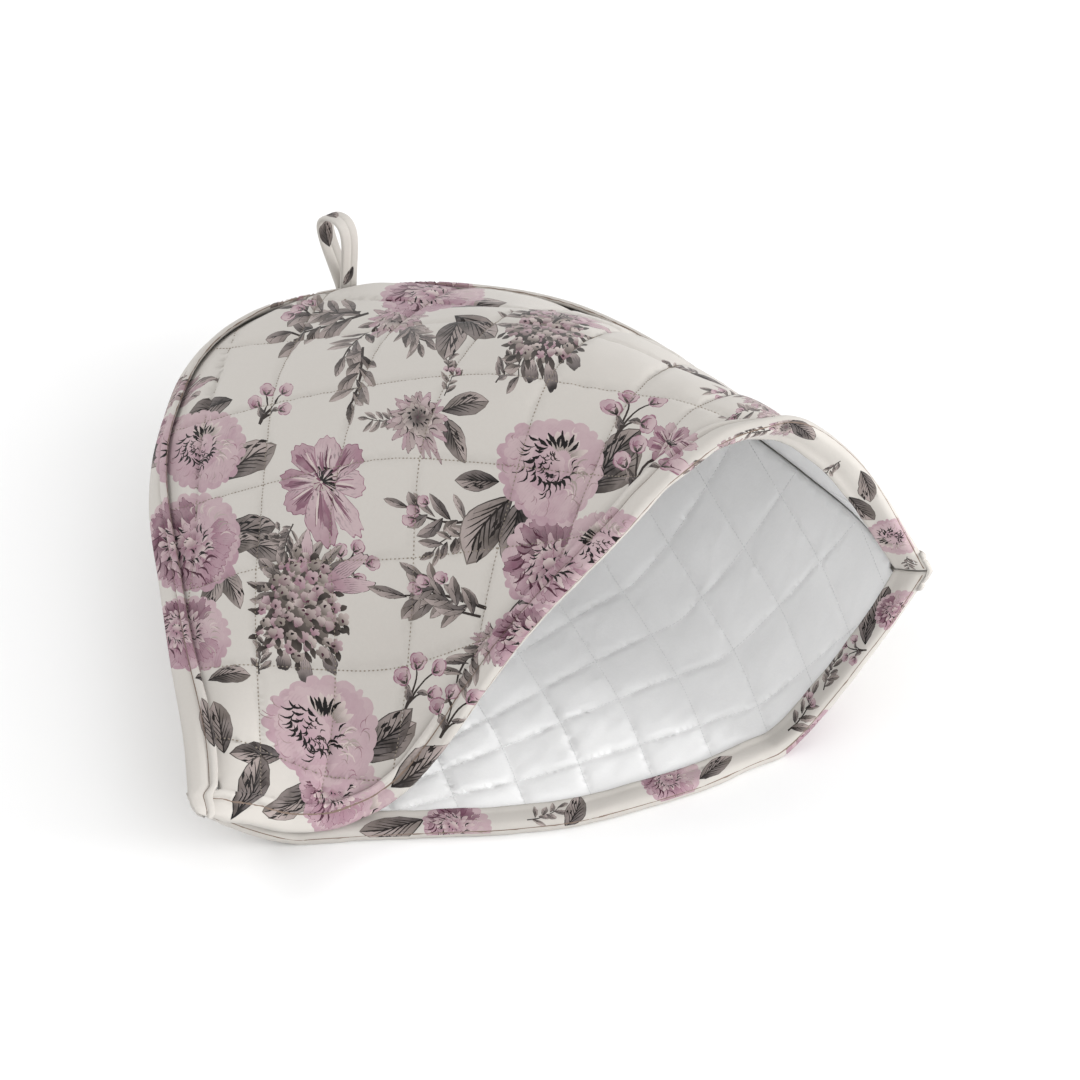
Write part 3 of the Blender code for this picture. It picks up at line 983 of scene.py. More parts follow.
class Brush:
    """Draws shapes in a motif's own frame, about one across, and keeps them lowest first."""

    def __init__(self, seed: int) -> None:
        """Starts an empty drawing with its own fixed chance."""
        self.draw = np.random.default_rng(seed)
        self.patches: list[Patch] = []

    def chance(self, low: float, high: float) -> float:
        """A number between two."""
        return float(self.draw.uniform(low, high))

    def between(self, a: Colour, b: Colour, low: float = 0.0, high: float = 1.0) -> Colour:
        """A colour between two, at a share drawn between low and high."""
        return shade(a, b, self.chance(low, high))

    def petal(
        self,
        base: Flat,
        turn: float,
        length: float,
        width: float,
        colours: tuple[Colour, Colour],
        edge: Colour | None = None,
        lobes: int = 3,
        depth: float = 0.06,
        veins: float = 0.0,
        pointed: float = 0.0,
    ) -> None:
        """One petal with a lobed rim.

        Args:
            base: Its foot.
            turn: Its direction in radians.
            length: Foot to rim.
            width: Widest span.
            colours: At the foot and at the rim.
            edge: Colour of the line under its rim.
            lobes: Lobes along the rim.
            depth: How deep they are cut.
            veins: Strength of its veins.
            pointed: 0 for a round rim and 1 for a pointed one.
        """
        way = np.linspace(-1, 1, 9 + 4 * lobes)
        half = width / 2
        phase = self.chance(0, 6.28)
        jag = 1 + depth * np.cos(way * math.pi * lobes + phase)
        jag = jag + self.draw.uniform(-0.3, 0.3, len(way)) * depth
        rim_along = length * (1 - 0.26 * np.abs(way) ** 2.2 - pointed * 0.35 * np.abs(way)) * jag
        rim_across = half * np.sign(way) * np.abs(way) ** 0.9 * (1 - 0.12 * pointed)
        waist = np.array([[-half * 0.80, length * 0.42], [-half * 0.36, length * 0.10]])
        left = waist[::-1]
        right = waist * (-1, 1)
        outline = np.concatenate([[[0.0, 0.0]], left, np.stack([rim_across, rim_along], -1), right])
        spin = spun(turn - math.pi / 2)
        placed = outline @ spin.T + base
        ahead = spin @ np.array([0.0, length])
        if edge is not None:
            grown = (outline - (0, length * 0.5)) * (1.04, 1.035) + (0, length * 0.5)
            self.patches.append(Patch(grown @ spin.T + base, edge, edge, base, tuple(ahead), half))
        self.patches.append(Patch(placed, colours[0], colours[1], base, tuple(ahead), half, veins))

    def stroke(
        self, points: Sequence[Flat] | Array, widths: Sequence[float], colour: Colour
    ) -> None:
        """One tapered brush stroke along a smooth way.

        Args:
            points: Three or more places on the way.
            widths: Full width at each.
            colour: Its ink.
        """
        knots = np.array(points, float)
        t = np.linspace(0, 1, len(knots))
        fine = np.linspace(0, 1, 5 if max(widths) < 0.05 else 7)
        if len(knots) == 3:
            a, b, c = knots
            mid = 2 * b - (a + c) / 2
            line = np.outer((1 - fine) ** 2, a) + np.outer(2 * fine * (1 - fine), mid)
            line = line + np.outer(fine**2, c)
        else:
            line = np.stack([np.interp(fine, t, knots[:, k]) for k in range(2)], -1)
        wide = np.interp(fine, t, widths)[:, None] / 2
        slope = unit(np.gradient(line, axis=0))
        side = np.stack([-slope[:, 1], slope[:, 0]], -1)
        outline = np.concatenate([line + side * wide, (line - side * wide)[::-1]])
        way = tuple(line[-1] - line[0])
        self.patches.append(Patch(outline, colour, colour, tuple(line[0]), way, 1.0))

    def ray(
        self, turn: float, reaches: Sequence[float], widths: Sequence[float], colour: Colour
    ) -> None:
        """A straight stroke out from the middle, through places at three reaches."""
        self.stroke([polar(turn, reach) for reach in reaches], widths, colour)

    def comma(
        self, place: Flat, turn: float, length: float, width: float, curl: float, colour: Colour
    ) -> None:
        """A short curled stroke, thick in its middle."""
        x, y = place
        c, s = math.cos(turn), math.sin(turn)
        middle = (x + c * length / 2 - s * curl * length, y + s * length / 2 + c * curl * length)
        end = polar(turn, length, place)
        self.stroke((place, middle, end), (width * 0.15, width, width * 0.25), colour)

    def leaf(
        self,
        base: Flat,
        turn: float,
        length: float,
        width: float,
        dark: float = 0.5,
        bend: float = 0.0,
        veins: int = 5,
    ) -> None:
        """A leaf in two tones, with a pale midrib and dark side veins.

        Args:
            base: Its foot.
            turn: Its direction in radians.
            length: Foot to tip.
            width: Widest span.
            dark: How dark it is, from 0 to 1.
            bend: How far its midrib bows, over its length.
            veins: Side veins on each half.
        """
        steps = 10
        t = np.linspace(0, 1, steps)
        spin = spun(turn)
        bow = bend * 4 * t * (1 - t) * length
        rib = np.stack([t * length, bow], -1)
        swell = np.sin(np.pi * t ** self.chance(0.95, 1.25)) ** 0.75 * width / 2
        notch = 1 + self.draw.uniform(-0.05, 0.05, steps)
        upper = rib + np.stack([0 * t, swell * notch], -1)
        sides = (upper, rib - np.stack([0 * t, swell * notch * 0.92], -1))
        pale = shade(INKS.haze, INKS.leaf, dark * 0.45)
        deep = shade(INKS.mist, INKS.slate, 0.1 + dark * 0.8)
        deepest = shade(INKS.slate, INKS.black, 0.3 + dark * 0.7)
        whole = np.concatenate([sides[0], sides[1][-2:0:-1]])
        middle = rib[steps // 2]
        grown = (whole - middle) * 1.05 + middle
        far = tuple(spin @ rib[-1])
        self.patches.append(Patch(grown @ spin.T + base, deepest, deep, base, far, width / 2))
        halves = ((deep, pale), (deepest, deep))
        for edge, colours in zip(sides, halves if self.chance(0, 1) < 0.7 else halves[::-1]):
            half = np.concatenate([edge, rib[-2:0:-1]])
            self.patches.append(Patch(half @ spin.T + base, *colours, base, far, width / 2, 0.35))
        for k in range(veins):
            at = (k + 1.0) / (veins + 1.6)
            n = int(at * (steps - 1))
            ahead = min(n + 3, steps - 1)
            for edge in sides:
                aim = edge[ahead] * 0.80 + rib[ahead] * 0.20
                mid = (rib[n] + aim) / 2 + (length * 0.02, 0)
                vein = np.array([rib[n], mid, aim]) @ spin.T + base
                self.stroke(vein, (width * 0.04, width * 0.035, width * 0.008), deepest)
        midrib = rib[[0, steps // 2, steps - 2]] @ spin.T + base
        self.stroke(midrib, (width * 0.06, width * 0.045, width * 0.015), deepest)
        for _ in range(max(0, veins - 2)):
            at, far = self.chance(0.35, 0.80), self.chance(0.3, 0.8)
            n = int(at * (steps - 1))
            start = rib[n] * (1 - far) + sides[0][n] * far
            fleck = start + np.array([(0.0, 0.0), (0.07 * length, 0.01), (0.15 * length, 0.0)])
            self.stroke(fleck @ spin.T + base, (0.01, width * 0.10, 0.01), deepest)

    def mass(
        self,
        centre: Flat,
        radius: float,
        lobes: int,
        depth: float,
        colours: tuple[Colour, Colour],
        squash: float = 1.0,
        veins: float = 0.0,
        span: Flat = (0.0, 2 * math.pi),
    ) -> None:
        """A patch with a rim of round scallops.

        Args:
            centre: Its middle.
            radius: Out to its scallops.
            lobes: How many there are.
            depth: How deep they are, over the radius.
            colours: At its lower left and at its upper right.
            squash: Height over width.
            veins: Strength of its veins.
            span: The part of the turn that it takes up, in radians.
        """
        uneven = self.draw.uniform(-0.28, 0.28, lobes - 1)
        cuts = np.arange(lobes + 1) + np.concatenate([[0], uneven, [0]])
        cuts = span[0] + cuts / lobes * (span[1] - span[0])
        whole = span[1] - span[0] > 6.2
        ring = [] if whole else [np.array([[0.0, 0.0]])]
        for low, high in zip(cuts, cuts[1:]):
            way = np.linspace(-1, 1, 6)[: 5 if whole else 6]
            turn = (low + high) / 2 + way * (high - low) / 2
            out = radius * (1 - depth + depth * self.chance(0.6, 1.35) * np.sqrt(1 - 0.97 * way**2))
            ring.append(np.stack([np.cos(turn) * out, np.sin(turn) * out * squash], -1))
        outline = np.concatenate(ring) + centre
        foot = (centre[0] - radius * 0.6, centre[1] - radius * 0.7)
        way = (radius * 1.2, radius * 1.4)
        self.patches.append(Patch(outline, *colours, foot, way, radius * 0.5, veins))

    def fringe(
        self,
        centre: Flat,
        reach: float,
        span: Flat,
        count: int,
        width: float,
        colour: Colour,
        curl: float = 0.25,
    ) -> None:
        """Curled strokes that stand round an arc.

        Args:
            centre: The arc's middle.
            reach: Its radius.
            span: Its first and last direction in radians.
            count: Strokes.
            width: Their greatest width.
            colour: Their ink.
            curl: How far they bow.
        """
        for k in range(count):
            turn = span[0] + (span[1] - span[0]) * (k + self.chance(0.2, 0.8)) / count
            place = polar(turn, reach * self.chance(0.85, 1.15), centre)
            lean = turn + math.copysign(self.chance(0.5, 1.2), curl)
            length = reach * self.chance(0.42, 0.75)
            wide, bow = width * self.chance(0.6, 1.2), curl * self.chance(0.5, 1.3)
            self.comma(place, lean, length, wide, bow, colour)

    def bud(self, base: Flat, turn: float, size: float) -> None:
        """A small closed flower with its cup."""
        c, s = math.cos(turn), math.sin(turn)
        head = (base[0] + c * size * 0.55, base[1] + s * size * 0.55)
        self.mass(head, size * 0.62, 5, 0.16, (INKS.rose, INKS.rose))
        self.mass(head, size * 0.57, 5, 0.16, (INKS.pink, INKS.blush), 1.0, 0.3)
        near = (head[0] - c * size * 0.1, head[1] - s * size * 0.1)
        self.mass(near, size * 0.34, 4, 0.2, (INKS.rose, INKS.blush))
        self.comma(near, turn + 0.9, size * 0.42, size * 0.10, 0.5, INKS.plum)
        self.comma(head, turn - 1.2, size * 0.36, size * 0.07, -0.5, INKS.wine)
        for lean in (0.6, -0.6):
            inks = (INKS.black, INKS.leaf)
            self.petal(base, turn + lean, size * 0.55, size * 0.24, inks, None, 1, 0.04, 0.0, 1.0)


def peony(seed: int, deep: float) -> list[Patch]:
    """A full double flower with a dark curled heart.

    Args:
        seed: Fixes its petals.
        deep: 0 for a pale flower and 1 for a deep one.

    Returns:
        Its patches, about one in radius.
    """
    b = Brush(seed)
    heart = (-0.08 + b.chance(-0.04, 0.04), 0.06 + b.chance(-0.04, 0.04))
    pale = shade(INKS.pink, INKS.blush, 0.45)
    whole = (shade(INKS.pink, INKS.rose, 0.1 + deep * 0.2), shade(pale, INKS.blush, 0.4))
    b.mass((0.0, 0.0), 1.0, 22, 0.09, whole, 0.97, 0.10)
    for k in range(9):
        turn = 2 * math.pi * k / 9 + b.chance(-0.2, 0.2)
        place = polar(turn, 0.46)
        tint = b.between(INKS.pink, INKS.blush, 0.2, 1.0)
        inks = (shade(tint, INKS.rose, 0.16), tint)
        span = (turn - 1.5, turn + 1.5)
        b.mass(place, b.chance(0.40, 0.47), 6, 0.14, inks, 1.0, 0.12, span)
    if deep > 0.5:
        for k in range(15):
            turn = 0.7 + 3.5 * k / 14 + b.chance(-0.1, 0.1)
            place = polar(turn, 0.34)
            strong = max(0.0, 1 - abs(turn - 2.0) / 2.2)
            low = shade(INKS.plum, INKS.wine, strong * b.chance(0.5, 1.0))
            tip = shade(INKS.pink, INKS.plum, 0.25 + strong * b.chance(0.3, 0.9))
            turn += b.chance(-0.15, 0.15)
            length, width = b.chance(0.44, 0.62), b.chance(0.24, 0.36)
            b.petal(place, turn, length, width, (low, tip), INKS.wine, 3, 0.07, 0.5, 0.4)
        for k in range(9):
            turn = 3.3 + 2.2 * k / 8 + b.chance(-0.1, 0.1)
            place = polar(turn, 0.36)
            length, width = b.chance(0.36, 0.5), b.chance(0.26, 0.36)
            inks = (INKS.rose, shade(INKS.pink, INKS.rose, 0.4))
            b.petal(place, turn, length, width, inks, INKS.plum, 3, 0.06, 0.4)
        for count, out, size in ((17, 0.22, 0.36), (13, 0.10, 0.30)):
            for k in range(count):
                turn = 2 * math.pi * k / count + b.chance(-0.15, 0.15)
                place = polar(turn, out, heart)
                tip = b.between(INKS.cream, INKS.pink, 0.0, 0.8)
                length, width = size * b.chance(0.8, 1.15), b.chance(0.11, 0.17)
                edge = b.between(INKS.plum, INKS.slate)
                b.petal(place, turn, length, width, (INKS.rose, tip), edge, 1, 0.05, 0.2, 0.5)
        b.fringe(heart, 0.30, (0.4, 6.2), 20, 0.045, INKS.black, 0.2)
        b.fringe(heart, 0.50, (1.2, 4.4), 14, 0.05, INKS.wine, 0.25)
        b.mass(heart, 0.14, 5, 0.2, (INKS.rose, INKS.cream))
        b.fringe(heart, 0.11, (0.0, 5.6), 6, 0.035, INKS.black, 0.4)
        for k in range(12):
            turn = 5.3 + 1.5 * k / 11 + b.chance(-0.1, 0.1)
            place = polar(turn, 0.55)
            turn, length = turn + b.chance(-0.4, 0.4), b.chance(0.16, 0.30)
            b.comma(place, turn, length, 0.03, 0.25, b.between(INKS.mist, INKS.cream))
        return b.patches
    for k in range(9):
        turn = 0.2 + 1.9 * k / 8
        place = (heart[0] + 0.20 + math.cos(turn) * 0.14, heart[1] + 0.10 + math.sin(turn) * 0.16)
        turn += b.chance(-0.2, 0.2)
        length, width = b.chance(0.28, 0.40), b.chance(0.10, 0.15)
        b.petal(place, turn, length, width, (INKS.mist, INKS.cream), None, 1, 0.04, 0.3, 0.4)
    for k in range(16):
        turn = -1.5 + 1.7 * k / 15
        x = 0.20 + math.cos(turn) * b.chance(0.05, 0.32)
        place = (x, -0.05 + math.sin(turn) * b.chance(0.05, 0.36))
        ink = b.between(INKS.mist, INKS.haze) if k % 3 else INKS.cream
        b.comma(place, turn + b.chance(-0.1, 0.9), b.chance(0.16, 0.32), 0.032, 0.3, ink)
    b.mass((heart[0] - 0.02, heart[1]), 0.27, 8, 0.12, (INKS.pink, INKS.blush))
    b.fringe(heart, 0.30, (1.7, 5.4), 15, 0.062, INKS.black, 0.30)
    b.fringe(heart, 0.17, (1.0, 4.8), 9, 0.042, INKS.black, 0.35)
    b.fringe((heart[0], heart[1] + 0.05), 0.42, (1.9, 3.4), 7, 0.050, INKS.black, 0.30)
    for k in range(11):
        turn = 0.75 + 1.35 * k / 10 + b.chance(-0.08, 0.08)
        place = (heart[0] + 0.12 + math.cos(turn) * 0.12, heart[1] + 0.08 + math.sin(turn) * 0.14)
        far = b.chance(0.14, 0.30)
        place = (place[0] + math.cos(turn) * (far - 0.12), place[1] + math.sin(turn) * (far - 0.12))
        turn, length = turn + b.chance(-0.2, 0.2), b.chance(0.16, 0.26)
        b.comma(place, turn, length, b.chance(0.05, 0.085), b.chance(-0.15, 0.2), INKS.black)
    b.fringe((heart[0] + 0.10, heart[1] - 0.02), 0.26, (4.3, 6.4), 7, 0.045, INKS.black, 0.30)
    b.fringe((heart[0] - 0.06, heart[1] - 0.04), 0.10, (0.4, 5.6), 7, 0.034, INKS.black, 0.45)
    stem = (heart[0] + 0.16, heart[1] - 0.08)
    for k in range(10):
        at = 0.12 * k / 9
        place = (stem[0] - 0.03 - at * 1.9, stem[1] - 0.04 - at * 2.8)
        turn, length = b.chance(2.6, 5.2), b.chance(0.12, 0.24)
        b.comma(place, turn, length, 0.034, 0.25, b.between(INKS.black, INKS.slate, 0, 0.6))
    for k in range(9):
        turn, out = b.chance(0.2, 6.0), b.chance(0.05, 0.22)
        place = polar(turn, out, heart)
        b.comma(place, turn + b.chance(0.8, 1.8), b.chance(0.08, 0.16), 0.03, 0.4, INKS.slate)
    for _ in range(22):
        turn, out = b.chance(2.4, 6.6), b.chance(0.48, 0.86)
        place = polar(turn, out)
        ink = b.between(INKS.rose, INKS.mist)
        b.comma(place, turn + b.chance(-1.3, 1.3), b.chance(0.12, 0.26), 0.020, 0.3, ink)
    b.comma((0.42, 0.66), 2.2, 0.13, 0.035, 0.8, INKS.cream)
    return b.patches


def open_flower(seed: int, _: float) -> list[Patch]:
    """A flat flower of eight ragged petals, set apart, with streaks from its eye."""
    b = Brush(seed)
    turns = (0.10, 0.72, 1.45, 2.15, 3.02, 3.85, 4.62, 5.45)
    for k in (0, 3, 5, 7, 1, 4, 6, 2):
        turn = turns[k] + b.chance(-0.06, 0.06)
        base = polar(turn, 0.05)
        strong = (0.15, 0.8, 0.2, 0.75, 0.95, 0.85, 0.6, 0.05)[k]
        tip = shade(INKS.blush, INKS.rose, min(1.0, strong * b.chance(0.8, 1.2)))
        far = (0.86, 1.05, 0.98, 0.92, 0.86, 0.88, 1.02, 0.92)[k]
        edge = shade(INKS.rose, INKS.plum, strong)
        b.petal(base, turn, far, b.chance(0.50, 0.60), (INKS.blush, tip), edge, 4, 0.03, 0.7)
        c, s = math.cos(turn + 0.17), math.sin(turn + 0.17)
        if strong > 0.5:
            inks = (INKS.rose, INKS.plum)
            foot = (c * 0.3, s * 0.3)
            b.petal(foot, turn + 0.17, far * 0.56, 0.20, inks, None, 2, 0.08, 0.4, 0.2)
        for _ in range(6):
            way = turn + b.chance(-0.26, 0.26)
            out, near = far * b.chance(0.60, 0.92), b.chance(0.15, 0.35)
            reaches = (near, (near + out) / 2, out)
            b.ray(way, reaches, (0.012, 0.034, 0.010), b.between(INKS.wine, INKS.rose))
        b.ray(turn - 0.1, (0.2, 0.45, far * 0.8), (0.01, 0.05, 0.02), INKS.cream)
    b.mass((0.0, 0.0), 0.20, 7, 0.25, (INKS.haze, INKS.cream))
    for k in range(13):
        turn, far = -0.5 + 2.6 * k / 12 + b.chance(-0.1, 0.1), b.chance(0.22, 0.38)
        ink = b.between(INKS.black, INKS.slate, 0, 0.4)
        b.ray(turn, (0.03, far * 0.6, far), (0.03, 0.022, 0.045), ink)
    for _ in range(9):
        turn, far = b.chance(2.0, 6.0), b.chance(0.12, 0.26)
        b.ray(turn, (0.03, far * 0.6, far), (0.02, 0.015, 0.03), INKS.plum)
    return b.patches


def daisy(seed: int, _: float) -> list[Patch]:
    """A small flower of many narrow petals with a dark eye."""
    b = Brush(seed)
    rings = (
        (21, 1.0, (INKS.rose, INKS.pink)),
        (18, 0.80, (INKS.leaf, INKS.blush)),
        (13, 0.54, (INKS.slate, INKS.cream)),
    )
    for count, length, colours in rings:
        for k in range(count):
            turn = 2 * math.pi * k / count + b.chance(-0.15, 0.15)
            far = length * b.chance(0.80, 0.98) * (1.0 - 0.12 * math.sin(turn))
            tip = shade(colours[1], INKS.mist, b.chance(0, 0.7))
            edge = b.between(INKS.plum, INKS.slate)
            b.petal((0.0, 0.06), turn, far, 0.25, (colours[0], tip), edge, 1, 0.05, 0.4, 0.4)
    b.fringe((0.0, 0.08), 0.20, (0.0, 6.0), 12, 0.07, INKS.black)
    b.fringe((0.0, 0.06), 0.46, (0.0, 6.0), 13, 0.045, INKS.slate)
    return b.patches


def cluster(seed: int, _: float) -> list[Patch]:
    """A hanging cluster of small florets among leaves, with long buds below."""
    b = Brush(seed)
    for k in range(11):
        turn = 0.15 + 3.1 * k / 10 + b.chance(-0.1, 0.1)
        start = (math.cos(turn) * 0.35, 0.15 + math.sin(turn) * 0.4)
        turn, length = turn + b.chance(-0.2, 0.2), b.chance(0.45, 0.70)
        b.leaf(start, turn, length, b.chance(0.15, 0.24), b.chance(0.2, 1.0), 0.05, 2)
    for x, turn, length in ((0.62, 0.55, 0.62), (0.66, 0.05, 0.55), (0.10, 1.45, 0.60)):
        inks = (INKS.rose, INKS.blush)
        b.petal((x * 0.5, 0.25), turn, length + 0.35, 0.26, inks, INKS.slate, 2, 0.05, 0.8, 0.5)
    for x, y, turn, length in (
        (-0.22, -0.80, -1.7, 0.34),
        (0.05, -0.80, -1.5, 0.50),
        (0.36, -0.66, -1.2, 0.42),
    ):
        b.petal((x, y), turn, length, 0.24, (INKS.haze, INKS.black), INKS.slate, 2, 0.05, 0.9, 0.3)
    b.mass((0.0, -0.05), 0.56, 13, 0.22, (INKS.slate, INKS.mist), 1.28)
    places = []
    for k in range(76):
        out, turn = 0.62 * math.sqrt((k + 0.5) / 76), 2.39996 * k
        x = out * math.cos(turn) * (1.0 - 0.20 * math.sin(turn)) * 1.05
        x += b.chance(-0.05, 0.05)
        places.append((x, 1.32 * out * math.sin(turn) - 0.05 + b.chance(-0.06, 0.06)))
    for k in b.draw.permutation(len(places)):
        x, y = places[k]
        dark = b.between(INKS.slate, INKS.black)
        turn, inks = math.atan2(y, x) + b.chance(-0.8, 0.8), (dark, shade(dark, INKS.leaf, 0.4))
        b.petal((x, y - 0.04), turn, 0.20, 0.10, inks, None, 1, 0.05, 0.0, 0.5)
        tip = shade(b.between(INKS.haze, INKS.pink), INKS.cream, b.chance(0, 0.4))
        low = b.between(INKS.leaf, INKS.rose)
        if k % 2 == 0:
            low, tip = INKS.leaf, b.between(INKS.mist, INKS.cream)
        if k % 3 == 0:
            turn, inks = b.chance(0.8, 2.4), (shade(low, INKS.plum, 0.5), tip)
            b.petal((x, y - 0.05), turn, 0.17, 0.15, inks, INKS.plum, 2, 0.05, 0.5)
        else:
            b.mass((x, y), b.chance(0.078, 0.116), 5, 0.36, (low, tip))
            turn, ink = b.chance(0, 6), b.between(INKS.wine, INKS.black)
            b.comma((x - 0.02, y), turn, 0.06, 0.045, 0.2, ink)
    return b.patches


def twig(seed: int, leaves: float) -> list[Patch]:
    """A curved stem with leaves on both sides and buds at its end."""
    b = Brush(seed)
    bow = b.chance(-0.16, 0.16)
    b.stroke(((0.0, 0.0), (0.5, bow), (1.0, 0.0)), (0.045, 0.035, 0.020), INKS.slate)
    count = 6 + int(3 * leaves)
    for k in range(count):
        t = 0.10 + 0.80 * k / count
        y = bow * 4 * t * (1 - t) * 0.5
        turn = (1 if k % 2 else -1) * b.chance(0.50, 1.05)
        length, width, dark = b.chance(0.28, 0.50), b.chance(0.12, 0.19), b.chance(0.0, 1.0)
        b.leaf((t, y), turn, length, width, dark, b.chance(-0.1, 0.1), 1)
    b.leaf((0.95, 0.0), b.chance(-0.2, 0.2), 0.34, 0.14, 0.6, 0.0, 2)
    if leaves < 0.6:
        for turn in (0.6, -0.45, 0.1):
            b.bud((0.80 + b.chance(-0.12, 0.12), math.sin(turn) * 0.26), turn, 0.16)
    return b.patches


def buds(seed: int, _: float) -> list[Patch]:
    """A fork of stems that end in closed buds."""
    b = Brush(seed)
    for turn, far in ((1.20, 1.05), (1.95, 0.85), (0.55, 0.70), (2.55, 0.50)):
        end = (math.cos(turn) * far * 0.8, math.sin(turn) * far)
        b.stroke(((0.0, -0.35), (end[0] * 0.3, end[1] * 0.5), end), (0.09, 0.06, 0.05), INKS.slate)
        b.bud(end, turn, 0.44)
    for place, turn in (((0.05, 0.1), 2.7), ((0.1, 0.25), 0.3), ((0.0, -0.1), 2.2)):
        b.leaf(place, turn, 0.42, 0.18, 0.9, 0.1, 1)
    return b.patches


def single_leaf(seed: int, dark: float) -> list[Patch]:
    """One leaf."""
    b = Brush(seed)
    b.leaf((-1.0, 0.0), 0.0, 2.0, 0.98, dark, b.chance(-0.08, 0.08), 7)
    return b.patches


class Motif(Enum):
    """The shapes that the print is made of, each about one in radius."""

    PEONY = (peony,)
    OPEN = (open_flower,)
    DAISY = (daisy,)
    CLUSTER = (cluster,)
    TWIG = (twig,)
    BUDS = (buds,)
    LEAF = (single_leaf,)

    def drawn(self, seed: int, tone_share: float) -> list[Patch]:
        """Its patches."""
        return self.value[0](seed, tone_share)


@dataclass(frozen=True)
class Spot:
    """One motif of the print: where its middle is on the flat, its size, turn and depth of tone."""

    motif: Motif
    across: float
    up: float
    size: float
    turn: float
    tone_share: float = 0.0
    seed: int = 1


class Print:
    """The print of one panel, drawn so that its motifs look true from the mouth's corner."""

    LEAST_SCALE, MOST_SCALE = 0.52, 1.15

    def __init__(self, side: Side, spots: Iterable[Spot], seen: bool) -> None:
        """Draws every spot.

        Args:
            side: The panel.
            spots: The motifs, lowest first.
            seen: Whether the motifs are drawn out to look round from the camera's side.
        """
        self.side, self.seen = side, seen
        self.patches: list[Patch] = []
        for spot in spots:
            self.patches += placed(spot, self.frame_at(spot.across * MM, spot.up * MM))

    def frame_at(self, across: float, up: float) -> Array:
        """The turn and stretch that make a motif at a flat place look upright and round."""
        if not self.seen:
            return np.eye(2)
        step = 0.004
        flat = np.array([[across, up], [across + step, up], [across, up + step]])
        pattern = PATTERNS[self.side]
        u, v = pattern.to_panel(flat[:, 0], flat[:, 1])
        points = FORM.extended(self.side, u, v)
        right, over, _ = Studio().axes()
        seen = points @ np.stack([right, over], -1)
        jacobian = np.stack([seen[1] - seen[0], seen[2] - seen[0]], -1) / step
        left_way, scale, right_way = np.linalg.svd(jacobian)
        scale = np.clip(scale, self.LEAST_SCALE, self.MOST_SCALE)
        return right_way.T @ np.diag(1 / scale) @ left_way.T


def moved(patch: Patch, spin: Array, place: Array) -> Patch:
    """A patch turned, sized and put in place."""
    size = math.sqrt(abs(np.linalg.det(spin)))
    base = spin @ np.array(patch.base) + place
    way = spin @ np.array(patch.way)
    outline = patch.outline @ spin.T + place
    wide = patch.half_width * size
    return replace(patch, outline=outline, base=tuple(base), way=tuple(way), half_width=wide)


def placed(spot: Spot, frame_at: Array) -> list[Patch]:
    """A spot's patches in place, drawn out by the frame that they are seen through."""
    spin = frame_at @ spun(math.radians(spot.turn)) * spot.size * MM
    place = np.array([spot.across, spot.up]) * MM
    return [moved(patch, spin, place) for patch in spot.motif.drawn(spot.seed, spot.tone_share)]


def cropped(outline: Array, axis: int, limit: float, sign: float) -> Array:
    """The part of a closed outline on one side of a line across an axis.

    Args:
        outline: The outline.
        axis: 0 or 1.
        limit: Where the line is.
        sign: 1 to keep what is below it, -1 to keep what is above.

    Returns:
        The part's outline, which may be empty.
    """
    away = (limit - outline[:, axis]) * sign
    kept = []
    for here, there, a, b in zip(outline, np.roll(outline, -1, axis=0), away, np.roll(away, -1)):
        if a >= 0:
            kept.append(here)
        if (a > 0 > b) or (a < 0 < b):
            kept.append(here + (there - here) * a / (a - b))
    return np.array(kept)


def carried(
    patches: Sequence[Patch], to_band: Callable[[Array], Array], low: float, high: float
) -> list[Patch]:
    """The patches of a panel's print that run on over a band.

    Args:
        patches: The print on the panel's flat pattern.
        to_band: Turns flat places into length along and length round the band.
        low: The least length round at which the band takes them.
        high: The greatest.

    Returns:
        Those patches on the band.
    """
    found = []
    for patch in patches:
        outline = to_band(patch.outline)
        if outline[:, 1].min() > high or outline[:, 1].max() < low:
            continue
        for limit, sign in ((high, 1.0), (low, -1.0)):
            if len(outline) > 2:
                outline = cropped(outline, 1, limit, sign)
        if len(outline) < 3:
            continue
        ends = to_band(np.array([patch.base, np.array(patch.base) + np.array(patch.way)]))
        way = tuple(ends[1] - ends[0])
        found.append(replace(patch, outline=outline, base=tuple(ends[0]), way=way))
    return found


def drawn_flat(spots: Iterable[Spot]) -> list[Patch]:
    """Motifs drawn straight on a band, on length along and length round."""
    return [patch for spot in spots for patch in placed(spot, np.eye(2))]


# ---------------------------------------------------------------- finishes


class Value:
    """A shader socket that takes part in sums."""

    def __init__(self, tree: "Tree", socket: bpy.types.NodeSocket) -> None:
        """Keeps the socket and the tree that it belongs to."""
        self.tree, self.socket = tree, socket

    def _sum(self, operation: str, *parts: "Value | float") -> "Value":
        """Adds one Math node."""
        return self.tree.node("ShaderNodeMath", {"operation": operation}, *parts)

    def __add__(self, other: "Value | float") -> "Value":
        """Self plus other."""
        return self._sum("ADD", self, other)

    __radd__ = __add__

    def __sub__(self, other: "Value | float") -> "Value":
        """Self minus other."""
        return self._sum("SUBTRACT", self, other)

    def __rsub__(self, other: "Value | float") -> "Value":
        """Other minus self."""
        return self._sum("SUBTRACT", other, self)

    def __mul__(self, other: "Value | float") -> "Value":
        """Self times other."""
        return self._sum("MULTIPLY", self, other)

    __rmul__ = __mul__

    def sine(self) -> "Value":
        """Sine of self."""
        return self._sum("SINE", self)

    def size(self) -> "Value":
        """Self without its sign."""
        return self._sum("ABSOLUTE", self)

    def step(self, low: float, high: float) -> "Value":
        """Eases from 0 at low to 1 at high."""
        settings = {"interpolation_type": "SMOOTHSTEP"}
        return self.tree.node("ShaderNodeMapRange", settings, self, low, high, 0.0, 1.0)


